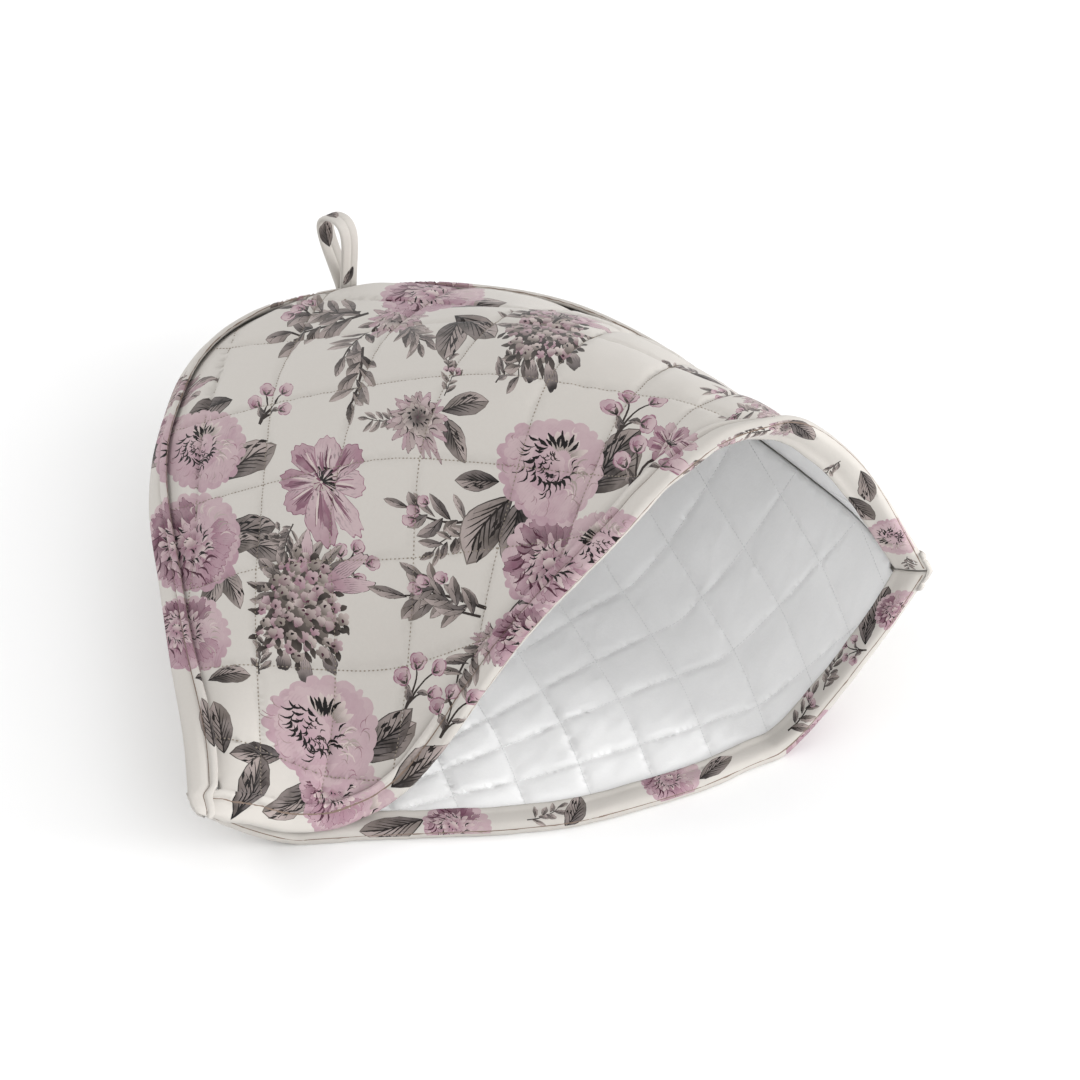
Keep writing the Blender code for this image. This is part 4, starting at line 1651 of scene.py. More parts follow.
class Tree:
    """A material's nodes, made by one method."""

    def __init__(self, name: str) -> None:
        """Starts an empty material."""
        self.material = bpy.data.materials.new(name)
        self.material.use_nodes = True
        self.nodes = self.material.node_tree.nodes
        self.links = self.material.node_tree.links
        self.nodes.clear()

    def node(self, kind: str, settings: dict, *values: object, **named: object) -> Value:
        """Makes a node.

        Args:
            kind: Its type.
            settings: Its own settings, set first.
            *values: Values or links of its first sockets; None leaves a socket alone.
            **named: Values or links by socket name, with _ for a space.

        Returns:
            Its first live output.
        """
        node = self.nodes.new(kind)
        for key, value in settings.items():
            setattr(node, key, value)
        sockets = [s for s in node.inputs if s.enabled]
        pairs = list(zip(sockets, values))
        pairs += [(node.inputs[key.replace("_", " ")], value) for key, value in named.items()]
        for socket, value in pairs:
            if isinstance(value, Value):
                self.links.new(value.socket, socket)
            elif value is not None:
                socket.default_value = value
        live = [s for s in node.outputs if s.enabled]
        return Value(self, live[0]) if live else Value(self, None)

    def output(self, value: Value, name: str) -> Value:
        """Another output of the node that a value comes from."""
        return Value(self, value.socket.node.outputs[name])

    def attribute(self, name: str, kind: str) -> Value:
        """What the mesh stores under a name."""
        return self.output(self.node("ShaderNodeAttribute", {"attribute_name": name}), kind)

    def blend(self, share: Value | float, a: object, b: object, way: str = "MIX") -> Value:
        """Mixes two colours."""
        node = self.nodes.new("ShaderNodeMix")
        node.data_type, node.blend_type, node.clamp_factor = "RGBA", way, True
        for socket, value in zip((node.inputs[0], node.inputs[6], node.inputs[7]), (share, a, b)):
            if isinstance(value, Value):
                self.links.new(value.socket, socket)
            else:
                socket.default_value = value
        return Value(self, node.outputs[2])

    def noise(self, where: Value, scale: float, detail: float = 3.0, rough: float = 0.55) -> Value:
        """Noise from 0 to 1."""
        return self.node(
            "ShaderNodeTexNoise", {}, Vector=where, Scale=scale, Detail=detail, Roughness=rough
        )

    def finish(
        self, colour: Value, roughness: Value, height: Value, depth: float, **fixed: float
    ) -> None:
        """Joins the parts into a Principled shader."""
        bump = self.node("ShaderNodeBump", {}, Height=height, Distance=depth, Strength=1.0)
        shader = self.nodes.new("ShaderNodeBsdfPrincipled")
        self.links.new(colour.socket, shader.inputs["Base Color"])
        self.links.new(roughness.socket, shader.inputs["Roughness"])
        self.links.new(bump.socket, shader.inputs["Normal"])
        for key, value in fixed.items():
            shader.inputs[key.replace("_", " ")].default_value = value
        out = self.nodes.new("ShaderNodeOutputMaterial")
        self.links.new(shader.outputs[0], out.inputs[0])


@dataclass(frozen=True)
class Cotton:
    """Woven cotton: fine threads, a light sheen and small handling creases."""

    name: str
    ground: Colour
    printed: bool = True
    thread: float = 0.00045
    crease: float = 0.35
    sheen: float = 0.12
    rough: float = 0.78

    def material(self) -> bpy.types.Material:
        """Builds the material.

        Returns:
            It, with the print read from the mesh where the cloth is printed.
        """
        tree = Tree(self.name)
        where = tree.node("ShaderNodeTexCoord", {})
        place = tree.output(where, "Object")
        flat = tree.output(where, "UV")
        parts = tree.node("ShaderNodeSeparateXYZ", {}, flat)
        across, up = tree.output(parts, "X"), tree.output(parts, "Y")
        turns = 2 * math.pi / self.thread
        warp = (across * turns).sine()
        weft = (up * turns).sine()
        weave = warp * weft
        slub = tree.noise(place, 900.0, 2.0)
        creases = tree.noise(place, 55.0, 4.0, 0.6)
        if self.printed:
            colour = self.print_colour(tree, place)
        else:
            cloudy = tree.noise(place, 18.0).step(0.35, 0.7)
            dull = tuple(c * 0.985 for c in self.ground)
            colour = tree.blend(cloudy, (*self.ground, 1), (*dull, 1))
        shade = weave * 0.012 + slub * 0.05 + 0.965
        grey = tree.node("ShaderNodeCombineXYZ", {}, shade, shade, shade)
        colour = tree.blend(1.0, colour, grey, "MULTIPLY")
        roughness = slub * 0.12 + (self.rough - 0.06)
        height = weave * 0.10 + slub * 0.35 + creases * self.crease * 6.0
        fixed = {"Sheen_Weight": self.sheen, "Sheen_Roughness": 0.4, "Specular_IOR_Level": 0.32}
        tree.finish(colour, roughness, height, 0.00012, **fixed)
        return tree.material

    def print_colour(self, tree: Tree, place: Value) -> Value:
        """The printed colour with its veins and its uneven ink, paler in patches.

        Args:
            tree: The material's nodes.
            place: Object coordinates.

        Returns:
            The colour.
        """
        ink = tree.attribute("print_colour", "Color")
        frame_at = tree.attribute("petal", "Vector")
        parts = tree.node("ShaderNodeSeparateXYZ", {}, frame_at)
        across, along, veins = (tree.output(parts, k) for k in "XYZ")
        drift = tree.noise(place, 420.0, 2.0) - 0.5
        rays = ((across * 11.0 + drift * 5.0 + across * along * 3.0).sine().size()).step(0.72, 0.99)
        fade = (along * -1.0 + 1.1).step(0.0, 0.8)
        patchy = tree.noise(place, 260.0, 2.0).step(0.42, 0.60)
        dark = rays * fade * patchy * veins
        ink = tree.blend(dark, ink, (0.030, 0.026, 0.032, 1))
        wash = tree.noise(place, 140.0, 3.0).step(0.30, 0.72)
        tinted = veins.size().step(0.0, 0.02)
        pale = tree.blend(wash * tinted * 0.22, ink, (0.56, 0.48, 0.47, 1))
        return pale


class Finish(Enum):
    """The finishes that the pieces choose from."""

    PRINT = Cotton("printed_cotton", (0.530, 0.502, 0.468))
    LINING = Cotton("lining_cotton", (0.93, 0.93, 0.93), printed=False, crease=0.22, sheen=0.05)
    # Dark stitch beads on the quilting lines: partly the thread and partly painted shade of the
    # needle holes between stitches.
    THREAD = Cotton("stitch_thread", (0.27, 0.23, 0.185), False, crease=0.0, sheen=0.05)
    # Pale grey stitch beads on the lining's quilting lines: partly the thread and partly painted
    # shade along its creases.
    PALE_THREAD = Cotton("lining_thread", (0.78, 0.78, 0.785), False, crease=0.0, sheen=0.05)

    @property
    def stuff(self) -> bpy.types.Material:
        """The finish's material, made once."""
        found = bpy.data.materials.get(self.value.name)
        return found or self.value.material()


# ---------------------------------------------------------------- quilting


@dataclass(frozen=True)
class QuiltLine:
    """One stitch line on the flat pattern: its slant, how far it passes the middle, its bend."""

    slant: float
    offset: float
    bend: float = 0.0

    def distance(self, across: Array, up: Array) -> Array:
        """Signed distance of places from the line, on its left."""
        c, s = math.cos(math.radians(self.slant)), math.sin(math.radians(self.slant))
        along = across * c + up * s
        return -across * s + up * c - self.offset * MM - self.bend * along * along

    def trace(self, reach: float, pitch: float) -> Array:
        """Places along the line."""
        c, s = math.cos(math.radians(self.slant)), math.sin(math.radians(self.slant))
        along = np.arange(-reach, reach, pitch)
        off = self.offset * MM + self.bend * along * along
        return np.stack([along * c - off * s, along * s + off * c], -1)


@dataclass(frozen=True)
class Quilting:
    """Two families of stitch lines, and how the wadding stands between them."""

    families: tuple[tuple[QuiltLine, ...], ...]
    fullness: float = 0.55

    def fill(self, across: Array, up: Array) -> Array:
        """How full the wadding stands: 0 on a stitch line and 1 in the middle of a cell."""
        full = np.ones_like(across)
        for lines in self.families:
            away = np.stack([line.distance(across, up) for line in lines])
            below = np.where(away <= 0, -away, 1.0).min(axis=0)
            above = np.where(away > 0, away, 1.0).min(axis=0)
            part = below / np.maximum(below + above, 1e-6)
            part = np.where((below > 0.5) | (above > 0.5), 0.5, part)
            full = full * np.sin(np.pi * part) ** self.fullness
        return full

    def nearest(self, across: Array, up: Array) -> Array:
        """Distance to the nearest stitch line."""
        lines = [line for lines in self.families for line in lines]
        return np.stack([np.abs(line.distance(across, up)) for line in lines]).min(axis=0)


def fan(*rows: tuple[float, ...]) -> tuple[QuiltLine, ...]:
    """Stitch lines from rows of slant in degrees, offset in mm, and bend."""
    return tuple(QuiltLine(*row) for row in rows)


# ---------------------------------------------------------------- pieces


def declare(
    piece: bpy.types.Object, finish: Finish, node: str | None
) -> bpy.types.Object:
    """Gives a piece its finish, its body and the solid it stands for.

    Args:
        piece: The finished piece.
        finish: Its material.
        node: The solid it replaces, if it does.

    Returns:
        The piece.
    """
    piece.data.materials.clear()
    piece.data.materials.append(finish.stuff)
    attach(piece, "root")
    if node:
        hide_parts(node)
    faces = sum(len(p.vertices) - 2 for p in piece.data.polygons)
    log.info("%s: %d triangles", piece.name, faces)
    return piece


def clipped(line: Array, inside: Array) -> list[Array]:
    """Parts of a polyline that lie inside a region."""
    parts, run = [], []
    for point, good in zip(line, inside):
        if good:
            run.append(point)
        elif len(run) > 2:
            parts.append(np.array(run))
            run = []
        else:
            run = []
    if len(run) > 2:
        parts.append(np.array(run))
    return parts


@dataclass(frozen=True)
class Stitching:
    """Running stitches set along lines by Geometry Nodes."""

    finish: Finish
    pitch: float = 0.0016
    length: float = 0.00088
    width: float = 0.00072
    unevenness: float = 0.28
    seed: int = 11

    def tree(self) -> tuple[bpy.types.NodeTree, dict[str, str]]:
        """Builds the tree.

        Returns:
            It, and the identifier of each of its inputs by name.
        """
        tree = bpy.data.node_groups.new("running_stitches", "GeometryNodeTree")
        face = tree.interface
        kinds = {"Lines": "Geometry", "Seed": "Int", "Thread": "Material"}
        kinds |= dict.fromkeys(("Pitch", "Length", "Width", "Unevenness"), "Float")
        keys = {}
        for name, kind in kinds.items():
            socket = face.new_socket(name, in_out="INPUT", socket_type="NodeSocket" + kind)
            keys[name] = socket.identifier
        face.new_socket("Stitches", in_out="OUTPUT", socket_type="NodeSocketGeometry")
        made = {}
        for name, kind in (
            ("start", "NodeGroupInput"),
            ("curve", "GeometryNodeMeshToCurve"),
            ("even", "GeometryNodeResampleCurve"),
            ("way", "GeometryNodeInputTangent"),
            ("turn", "FunctionNodeAlignRotationToVector"),
            ("bead", "GeometryNodeMeshIcoSphere"),
            ("least", "ShaderNodeMath"),
            ("most", "ShaderNodeMath"),
            ("chance", "FunctionNodeRandomValue"),
            ("long", "ShaderNodeMath"),
            ("size", "ShaderNodeCombineXYZ"),
            ("set", "GeometryNodeInstanceOnPoints"),
            ("real", "GeometryNodeRealizeInstances"),
            ("dress", "GeometryNodeSetMaterial"),
            ("end", "NodeGroupOutput"),
        ):
            made[name] = tree.nodes.new(kind)
        made["even"].mode = "LENGTH"
        made["turn"].axis = "X"
        made["bead"].inputs["Radius"].default_value = 0.5
        made["bead"].inputs["Subdivisions"].default_value = 1
        for name, operation in (("least", "SUBTRACT"), ("most", "ADD"), ("long", "MULTIPLY")):
            made[name].operation = operation
        for name in ("least", "most"):
            made[name].inputs[0].default_value = 1.0
        for source, out, target, into in (
            ("start", "Lines", "curve", "Mesh"),
            ("curve", "Curve", "even", "Curve"),
            ("start", "Pitch", "even", "Length"),
            ("way", "Tangent", "turn", "Vector"),
            ("start", "Unevenness", "least", 1),
            ("start", "Unevenness", "most", 1),
            ("least", 0, "chance", 2),
            ("most", 0, "chance", 3),
            ("start", "Seed", "chance", "Seed"),
            ("chance", 1, "long", 0),
            ("start", "Length", "long", 1),
            ("long", 0, "size", "X"),
            ("start", "Width", "size", "Y"),
            ("start", "Width", "size", "Z"),
            ("even", "Curve", "set", "Points"),
            ("bead", "Mesh", "set", "Instance"),
            ("turn", "Rotation", "set", "Rotation"),
            ("size", "Vector", "set", "Scale"),
            ("set", "Instances", "real", "Geometry"),
            ("real", "Geometry", "dress", "Geometry"),
            ("start", "Thread", "dress", "Material"),
            ("dress", "Geometry", "end", "Stitches"),
        ):
            tree.links.new(made[source].outputs[out], made[target].inputs[into])
        return tree, keys

    def build(self, name: str, lines: Sequence[Array]) -> bpy.types.Object:
        """Sews stitches along lines.

        Args:
            name: The piece's name.
            lines: Places along each line.

        Returns:
            The stitches as one plain mesh.
        """
        places, edges, count = [], [], 0
        for line in lines:
            places += line.tolist()
            edges += [(count + k, count + k + 1) for k in range(len(line) - 1)]
            count += len(line)
        mesh = bpy.data.meshes.new(name + "_lines")
        mesh.from_pydata(places, edges, [])
        base = bpy.data.objects.new(name + "_lines", mesh)
        bpy.context.scene.collection.objects.link(base)
        tree, keys = self.tree()
        modifier = base.modifiers.new("stitches", "NODES")
        modifier.node_group = tree
        given = {
            "Seed": self.seed,
            "Thread": self.finish.stuff,
            "Pitch": self.pitch,
            "Length": self.length,
            "Width": self.width,
            "Unevenness": self.unevenness,
        }
        for key, value in given.items():
            modifier[keys[key]] = value
        graph = bpy.context.evaluated_depsgraph_get()
        made = bpy.data.meshes.new_from_object(base.evaluated_get(graph), depsgraph=graph)
        base.modifiers.remove(modifier)
        bpy.data.objects.remove(base)
        made.name = name
        made.shade_smooth()
        piece = bpy.data.objects.new(name, made)
        bpy.context.scene.collection.objects.link(piece)
        return declare(piece, self.finish, None)


@dataclass
class Quilted:
    """A quilted layer of one panel, cut on the flat pattern."""

    side: Side
    quilting: Quilting
    name: str
    node: str
    pitch: float = 0.0026
    puff: float = 0.0026
    groove: float = 0.0009
    inset: float = 1.0
    coarse: float = 0.007
    eased_over: float = 0.007
    traced: float = 0.36
    trace_pitch: float = 0.0018
    slot: str = "printed_quilt"
    finish: Finish = Finish.PRINT
    sewing: Stitching | None = None
    patches: list[Patch] = field(default_factory=list)

    def span(self, v: Array) -> tuple[Array, Array]:
        """The first and last u of the layer at each row."""
        first, last = EDGE.span(v)
        return first * self.inset, 1 - (1 - last) * self.inset

    def outline(self) -> Array:
        """The cut edge on the flat pattern, anticlockwise."""
        low = np.linspace(EDGE.at_hem - FORM.hem_band, 0, 8)
        v = np.concatenate([low, np.linspace(0.004, EDGE.top_row, 130)])
        first, last = self.span(v)
        right = np.stack(PATTERNS[self.side].to_flat(last, v), -1)
        left = np.stack(PATTERNS[self.side].to_flat(first, v), -1)
        share = np.linspace(0, 1, 140)[1:-1, None]
        low = left[0] * (1 - share) + right[0] * share
        high = right[-1] * (1 - share) + left[-1] * share
        return np.concatenate([left[:1], low, right, high, left[:0:-1]])

    def inside(self, places: Array, margin: float) -> Array:
        """Which flat places lie inside the cut edge by a margin."""
        pattern = PATTERNS[self.side]
        u, v = pattern.to_panel(places[:, 0], places[:, 1])
        low = EDGE.at_hem - FORM.hem_band + margin
        high = np.interp(EDGE.top_row, pattern.even, pattern.rise) - margin
        first, last = self.span(v)
        width = np.interp(np.clip(v, 0, 1), pattern.even, pattern.width)
        shift = margin / width
        between_seams = (u > first + shift) & (u < last - shift)
        return (places[:, 1] > low) & (places[:, 1] < high) & between_seams

    def grid(self) -> Array:
        """Free places inside the layer, in a triangular grid."""
        edge = self.outline()
        low, high = edge.min(0), edge.max(0)
        x = np.arange(low[0], high[0], self.pitch)
        y = np.arange(low[1], high[1], self.pitch * 0.866)
        gx, gy = np.meshgrid(x, y)
        gx = gx + (np.arange(len(y)) % 2)[:, None] * self.pitch / 2
        places = np.stack([gx, gy], -1).reshape(-1, 2)
        return places[self.inside(places, self.pitch * 0.6)]

    def creases(self) -> list[Array]:
        """The stitch lines inside the layer."""
        found: list[Array] = []
        for line in (line for lines in self.quilting.families for line in lines):
            trace = line.trace(self.traced, self.trace_pitch)
            found += clipped(trace, self.inside(trace, 0.001))
        return found

    def relief(self, across: Array, up: Array, place: Array) -> Array:
        """How far the wadding and the ditches lift the face."""
        from_seam = FORM.seam_distance(place) - FORM.seam_band
        clear = smooth(np.minimum(from_seam, up) / self.eased_over)
        fill = self.quilting.fill(across, up)
        near = self.quilting.nearest(across, up)
        ditch = np.exp(-((near / 0.0012) ** 2)) * self.groove
        pucker = ripple(across, up, 0.007, 5) * np.exp(-near / 0.004) * 0.00018
        slack = ripple(across, up, 0.030, 8) * 0.00022 * fill
        puffed = LAYERS.flattened + (self.puff - LAYERS.flattened) * fill + pucker + slack - ditch
        return LAYERS.flattened * (1 - clear) + puffed * clear

    def place(self, across: Array, up: Array) -> tuple[Array, Array]:
        """Places on the outer face and on the inner face."""
        u, v = PATTERNS[self.side].to_panel(across, up)
        middle = FORM.extended(self.side, u, v)
        out = FORM.normals(self.side, u, v)
        outer = middle + out * (LAYERS.panel_in + self.relief(across, up, middle))[:, None]
        outer[:, 2] = np.maximum(outer[:, 2], ON_FLOOR)
        return outer, middle + out * LAYERS.panel_in

    def flat_size(self) -> tuple[Flat, float]:
        """The cut's width and length, and its area."""
        edge = self.outline()
        size = edge.max(0) - edge.min(0)
        x, y = edge[:, 0], edge[:, 1]
        area = abs(np.dot(x, np.roll(y, -1)) - np.dot(y, np.roll(x, -1))) / 2
        return (float(size[0]), float(size[1])), float(area)

    def build(self, rests_on: str = "seam_band") -> bpy.types.Object:
        creases = self.creases()
        ground = self.finish.value.ground
        piece = printed_sheet(
            self.name,
            self.outline(),
            self.grid(),
            creases,
            self.patches,
            ground,
            self.place,
            self.coarse,
        )
        declare(piece, self.finish, self.node)
        flat, area = self.flat_size()
        if self.sewing:
            lines = [self.place(line[:, 0], line[:, 1])[0] for line in creases]
            self.sewing.build(self.name.replace("cloth", "stitches"), lines)
        return piece


@dataclass
class Lining(Quilted):
    """The quilted lining of one panel, which runs right into the seams."""

    inset: float = 0.22
    groove: float = 0.00045
    puff: float = 0.0007
    slot: str = "quilted_lining"
    finish: Finish = Finish.LINING

    def place(self, across: Array, up: Array) -> tuple[Array, Array]:
        """Places on the face that shows in the mouth and on the face on the panel."""
        u, v = PATTERNS[self.side].to_panel(across, up)
        middle = FORM.extended(self.side, u, v)
        out = FORM.normals(self.side, u, v)
        room = smooth(FORM.seam_distance(middle) / 0.02)
        fill = self.quilting.fill(across, up)
        near = self.quilting.nearest(across, up)
        ditch = np.exp(-((near / 0.0010) ** 2)) * self.groove
        slack = ripple(across, up, 0.026, 21) * 0.00030 + ripple(across, up, 0.011, 22) * 0.00012
        clear = smooth(up / 0.006) * room
        thick = LAYERS.lining + (self.puff * fill - ditch + slack) * clear
        near_face = middle - out * LAYERS.lining_in
        return middle - out * (LAYERS.lining_in + np.maximum(thick, 0.0006))[:, None], near_face


def rolled_edge(low: float, top: float) -> Rows:
    """The edge of a binding on the quilting: a raised fold with a stitched ditch beside it.

    Args:
        low: Reach of the binding's inner face.
        top: Reach of its outer face.

    Returns:
        Rows of distance in from the edge, and reach.
    """
    return (
        (0.0004, low),
        (-0.0003, low + 0.0006),
        (-0.0002, top + 0.0004),
        (0.0003, top + 0.0010),
        (0.0014, top + 0.0012),
        (0.0024, top + 0.0009),
        (0.0029, top - 0.0005),
        (0.0034, top - 0.0004),
    )


def hem_profile(form: Form, layers: Layers) -> Array:
    """The hem band's closed profile, from its hidden edge over the outer leg to the inner leg."""
    wide, top, low = form.hem_band, layers.band_out, layers.leg_out
    rows = (
        *rolled_edge(layers.band_in, top),
        (0.0043, top + 0.0001),
        (wide / 2, top + 0.0003),
        (wide - 0.0030, top + 0.0002),
        (wide - 0.0016, top - 0.0001),
        (wide - 0.0007, top * 0.72),
        (wide - 0.0002, top * 0.35),
        (wide, 0.0001),
        (wide - 0.0002, -low * 0.40),
        (wide - 0.0007, -low * 0.75),
        (wide - 0.0016, -low + 0.0001),
        (wide - 0.0030, -low - 0.0002),
        (wide / 2, -low - 0.0003),
        (0.0030, -low - 0.0001),
        (0.0016, -low - 0.0005),
        (0.0004, -low - 0.0005),
        (-0.0002, -low + 0.0001),
        (-0.0001, -layers.leg_in),
        (wide / 2, -layers.leg_in),
        (wide - 0.0013, -layers.leg_in),
        (wide - 0.0013, layers.band_in),
        (wide / 2, layers.band_in),
    )
    return np.array(rows)


# Numbers of the profiles' corners: the fold on the quilting and the lower edge of a hem band, and
# the fold over the seam and the other panel's edge of the seam band.
HEM_FOLD, HEM_NOSE = 3, 14
SEAM_NOSE, SEAM_END = 11, 23
# Painted shade: a dark ink for thin lines printed into the bands' stitched ditches, at the feet of
# their raised folds and along their folded edges, where shadow falls.
DITCH_SHADE_INK = tone(122, 105, 93)


@dataclass
class HemBand:
    """The strip folded over the raw hem of one panel, mitred at both corners of the mouth."""

    side: Side
    name: str
    node: str
    stations: int = 230
    mitre: float = 1.05
    patches: list[Patch] = field(default_factory=list)
    inner_spots: tuple[Spot, ...] = ()
    overlap: float = 0.0004
    beside_tip: float = 0.04

    def mitre_section(self, corner: int, down: Array, reach: Array) -> Array:
        """The profile in the plane that halves a corner of the mouth."""
        other_side = Side(-self.side.value)
        u = np.full(len(down), float(corner))
        inner = np.full(len(down), self.beside_tip if corner == 0 else 1 - self.beside_tip)
        tip = FORM.extended(self.side, u, -down)
        own = unit(FORM.extended(self.side, inner, -down) - tip)
        other = unit(FORM.extended(other_side, inner, -down) - tip)
        halving = unit(own + other)
        sine = np.linalg.norm(own - other, axis=-1) / 2
        length = np.minimum(1 / sine, self.mitre)[:, None] * reach[:, None]
        return tip - halving * length + unit(own - other) * LAYERS.ply

    def tube(self) -> Tube:
        """The band's profile along the hem."""
        down, reach = hem_profile(FORM, LAYERS).T
        edge = EDGE.at_corner / (FORM.right_seam[0][1] - FORM.left_seam[0][1])
        even = np.linspace(0, 1, self.stations)
        share = (even / 2 + (1 - np.cos(np.pi * even)) / 4)[1:-1]
        u, v = np.meshgrid(edge + (1 - 2 * edge) * share, -down, indexing="ij")
        sections = FORM.extended(self.side, u, v)
        across = PATTERNS[self.side].to_flat(u, v)[0]
        soft = ripple(across, v, 0.016, 31 + self.side.value) * 0.00018
        reaches = (reach + soft * np.sign(reach))[..., None]
        sections = sections + FORM.normals(self.side, u, v) * reaches
        first = self.mitre_section(0, down, reach)
        last = self.mitre_section(1, down, reach)
        fill = np.linspace(0, 1, 7)[1:-1, None, None]
        start = first * (1 - fill) + sections[0] * fill
        stop = sections[-1] * (1 - fill) + last * fill
        sections = np.concatenate([first[None], start, sections, stop, last[None]])
        sections[..., 2] = np.maximum(sections[..., 2], ON_FLOOR)
        return Tube(sections)

    def build(self) -> bpy.types.Object:
        tube = self.tube()
        down, _ = hem_profile(FORM, LAYERS).T
        outer, nose = slice(HEM_FOLD, HEM_NOSE + 1), tube.round[HEM_NOSE]
        width = PATTERNS[self.side].width[0]

        def to_band(flat: Array) -> Array:
            """Puts flat places of the panel on the band."""
            along = (flat[:, 0] / width + 0.5) * tube.along[-1]
            low = -flat[:, 1]
            leg = np.interp(low, down[outer], tube.round[outer])
            leg = leg + np.minimum(low - down[HEM_FOLD], 0) + np.maximum(low - down[HEM_NOSE], 0)
            return np.stack([along, leg], -1)

        print_on = carried(self.patches, to_band, BAND_MARGIN, nose + self.overlap)
        inner = drawn_flat(self.inner_spots)
        for patch in inner:
            patch.outline = patch.outline + (0.0, nose)
            patch.base = (patch.base[0], patch.base[1] + nose)
        last = tube.round[-1] - BAND_MARGIN
        inner = carried(inner, lambda flat: flat, nose - self.overlap, last)
        # Thin lines of painted shade on the band: at the fold's foot, in the stitched ditch, along
        # the folded lower edge and on the inner leg.
        lines = [
            line_on(tube, float(tube.round[k : k + 2].mean()), width * MM, DITCH_SHADE_INK, 40 + k)
            for k, width in ((1, 0.35), (6, 0.40), (HEM_NOSE, 0.40), (22, 0.30))
        ]
        patches = print_on + inner + lines
        piece = printed_tube(self.name, tube, BAND_PITCH, patches, Finish.PRINT.value.ground)
        declare(piece, Finish.PRINT, self.node)
        flat = (float(tube.round[-1] / 2), float(tube.along[-1]))
        return piece


@dataclass
class SeamBand:
    """One strip folded over the raw edges of both panels, from one corner over the top."""

    prints: dict[Side, list[Patch]]
    hems: dict[Side, Tube]
    name: str = "seam_band"
    node: str = "seam_binding"
    stations: int = 170
    first: float = 0.0030
    downs: tuple[float, ...] = (0.0105, 0.0098, 0.0082, 0.0060, 0.0040, 0.0022)
    lift: float = 0.0002
    flattened: float = 0.55
    followed: float = 0.016
    left_hem_way: Flat = (1.0, 0.02)
    right_hem_way: Flat = (-0.92, 0.40)
    corner_clear: float = 0.0045
    corner_step: float = 0.0008
    # Profile rows that carry thin lines of painted shade.
    line_rows: tuple[int, ...] = (1, 6, 15, 20)

    def profile(self) -> list[tuple[int, float, float]]:
        """Leg, distance from the seam and reach; leg 0 is the nose of the fold."""
        wide, low, top = FORM.seam_band, LAYERS.seam_in, LAYERS.seam_out
        leg = (
            *((wide - inward, reach) for inward, reach in rolled_edge(low, top)),
            (wide * 0.50, top + 0.0001),
            (wide * 0.30, top + 0.0002),
            (0.0011, top),
        )
        rows = [(1, d, h) for d, h in leg] + [(0, 0.0, top)]
        rows += [(-1, d, h) for d, h in leg[::-1]]
        rows += [(-1, wide * 0.5, low), (-1, 0.0011, low), (0, 0.0, low)]
        rows += [(1, 0.0011, low), (1, wide * 0.5, low)]
        return rows

    def leg(self, line: Array, side: Side, along: Array, distances: Array) -> tuple[Array, Array]:
        """Places at distances along a line up a panel, with their outward normals."""
        run = running_length(line)
        slope = unit(np.gradient(line, axis=0))
        at = np.stack([np.interp(distances, run, line[:, a]) for a in range(3)], -1)
        way = unit(np.stack([np.interp(distances, run, slope[:, a]) for a in range(3)], -1))
        out = unit(np.cross(way, along))
        return at, out * np.where(out[:, 2:] * side.value > 0, 1, -1)

    def sections(self, table: Rows, v: Array) -> Array:
        """The profile at fractions v of a dome seam."""
        tips = FORM.seam(table, v)
        ahead, behind = (FORM.seam(table, np.clip(v + s, 0, 1)) for s in (0.01, -0.01))
        along = unit(ahead - behind)
        along[v == 1] = (1.0, 0.0, 0.0)
        turn = 1 if table is FORM.left_seam else -1
        inward = turn * np.stack([along[:, 1], -along[:, 0]], -1)
        inward[v == 1] = (0.0, -1.0)
        hem_way = np.array(self.left_hem_way if turn == 1 else self.right_hem_way)
        low_down = (1 - smooth(v / 0.06))[:, None]
        inward = unit(unit(inward) * (1 - low_down) + hem_way * low_down)
        plan = np.linspace(0, self.followed, 65)
        x, y = (tips[:, a, None] + inward[:, a, None] * plan for a in (0, 1))
        lines = {side: FORM.on_plan(side, x, y) for side in Side}
        rows = self.profile()
        distances = np.array([d for _, d, _ in rows])
        found = []
        for k, tip in enumerate(tips):
            legs = {}
            for side in Side:
                lines[side][k, 0] = tip
                legs[side.value] = self.leg(lines[side][k], side, along[k], distances)
            nose = unit(legs[1][1][SEAM_NOSE - 1] + legs[-1][1][SEAM_NOSE - 1])
            points = []
            for n, (which, _, reach) in enumerate(rows):
                at, out = (tip, nose) if which == 0 else (legs[which][0][n], legs[which][1][n])
                points.append(at + out * reach)
            found.append(points)
        return np.array(found)

    def corner_sections(self, corner: int) -> Array:
        """The profile over a corner of the hem bands, at each distance down their outer legs."""
        rows = self.profile()
        distance = np.array([d for _, d, _ in rows])
        reach = (np.array([h for *_, h in rows]) - LAYERS.seam_in) * self.flattened + self.lift
        leg = np.array([w for w, *_ in rows])
        down = hem_profile(FORM, LAYERS)[HEM_FOLD : HEM_NOSE + 1, 0]
        places, ways = {}, {}
        for side, tube in self.hems.items():
            around = np.interp(self.downs, down, tube.round[HEM_FOLD : HEM_NOSE + 1])
            end = tube.along[-1]
            along, around = np.meshgrid(distance if corner == 0 else end - distance, around)
            clear = np.clip(along, self.corner_clear, end - self.corner_clear)
            step = self.corner_step
            run = tube.place(clear + step, around) - tube.place(clear - step, around)
            over = tube.place(clear, around + step) - tube.place(clear, around - step)
            out = unit(np.cross(run, over))
            row = np.interp(clear, tube.along, np.arange(len(tube.along))).astype(int)
            middle = tube.sections.mean(axis=1)[row]
            places[side] = tube.place(along, around)
            away = ((places[side] - middle) * out).sum(-1, keepdims=True)
            ways[side] = out * np.where(away < 0, -1, 1)
        nose = unit(ways[Side.FRONT] + ways[Side.BACK])
        tip = (places[Side.FRONT] + places[Side.BACK]) / 2
        found = np.where((leg > 0)[:, None], places[Side.FRONT], places[Side.BACK])
        way = np.where((leg > 0)[:, None], ways[Side.FRONT], ways[Side.BACK])
        on_nose = (leg == 0)[:, None]
        return np.where(on_nose, tip, found) + np.where(on_nose, nose, way) * reach[:, None]

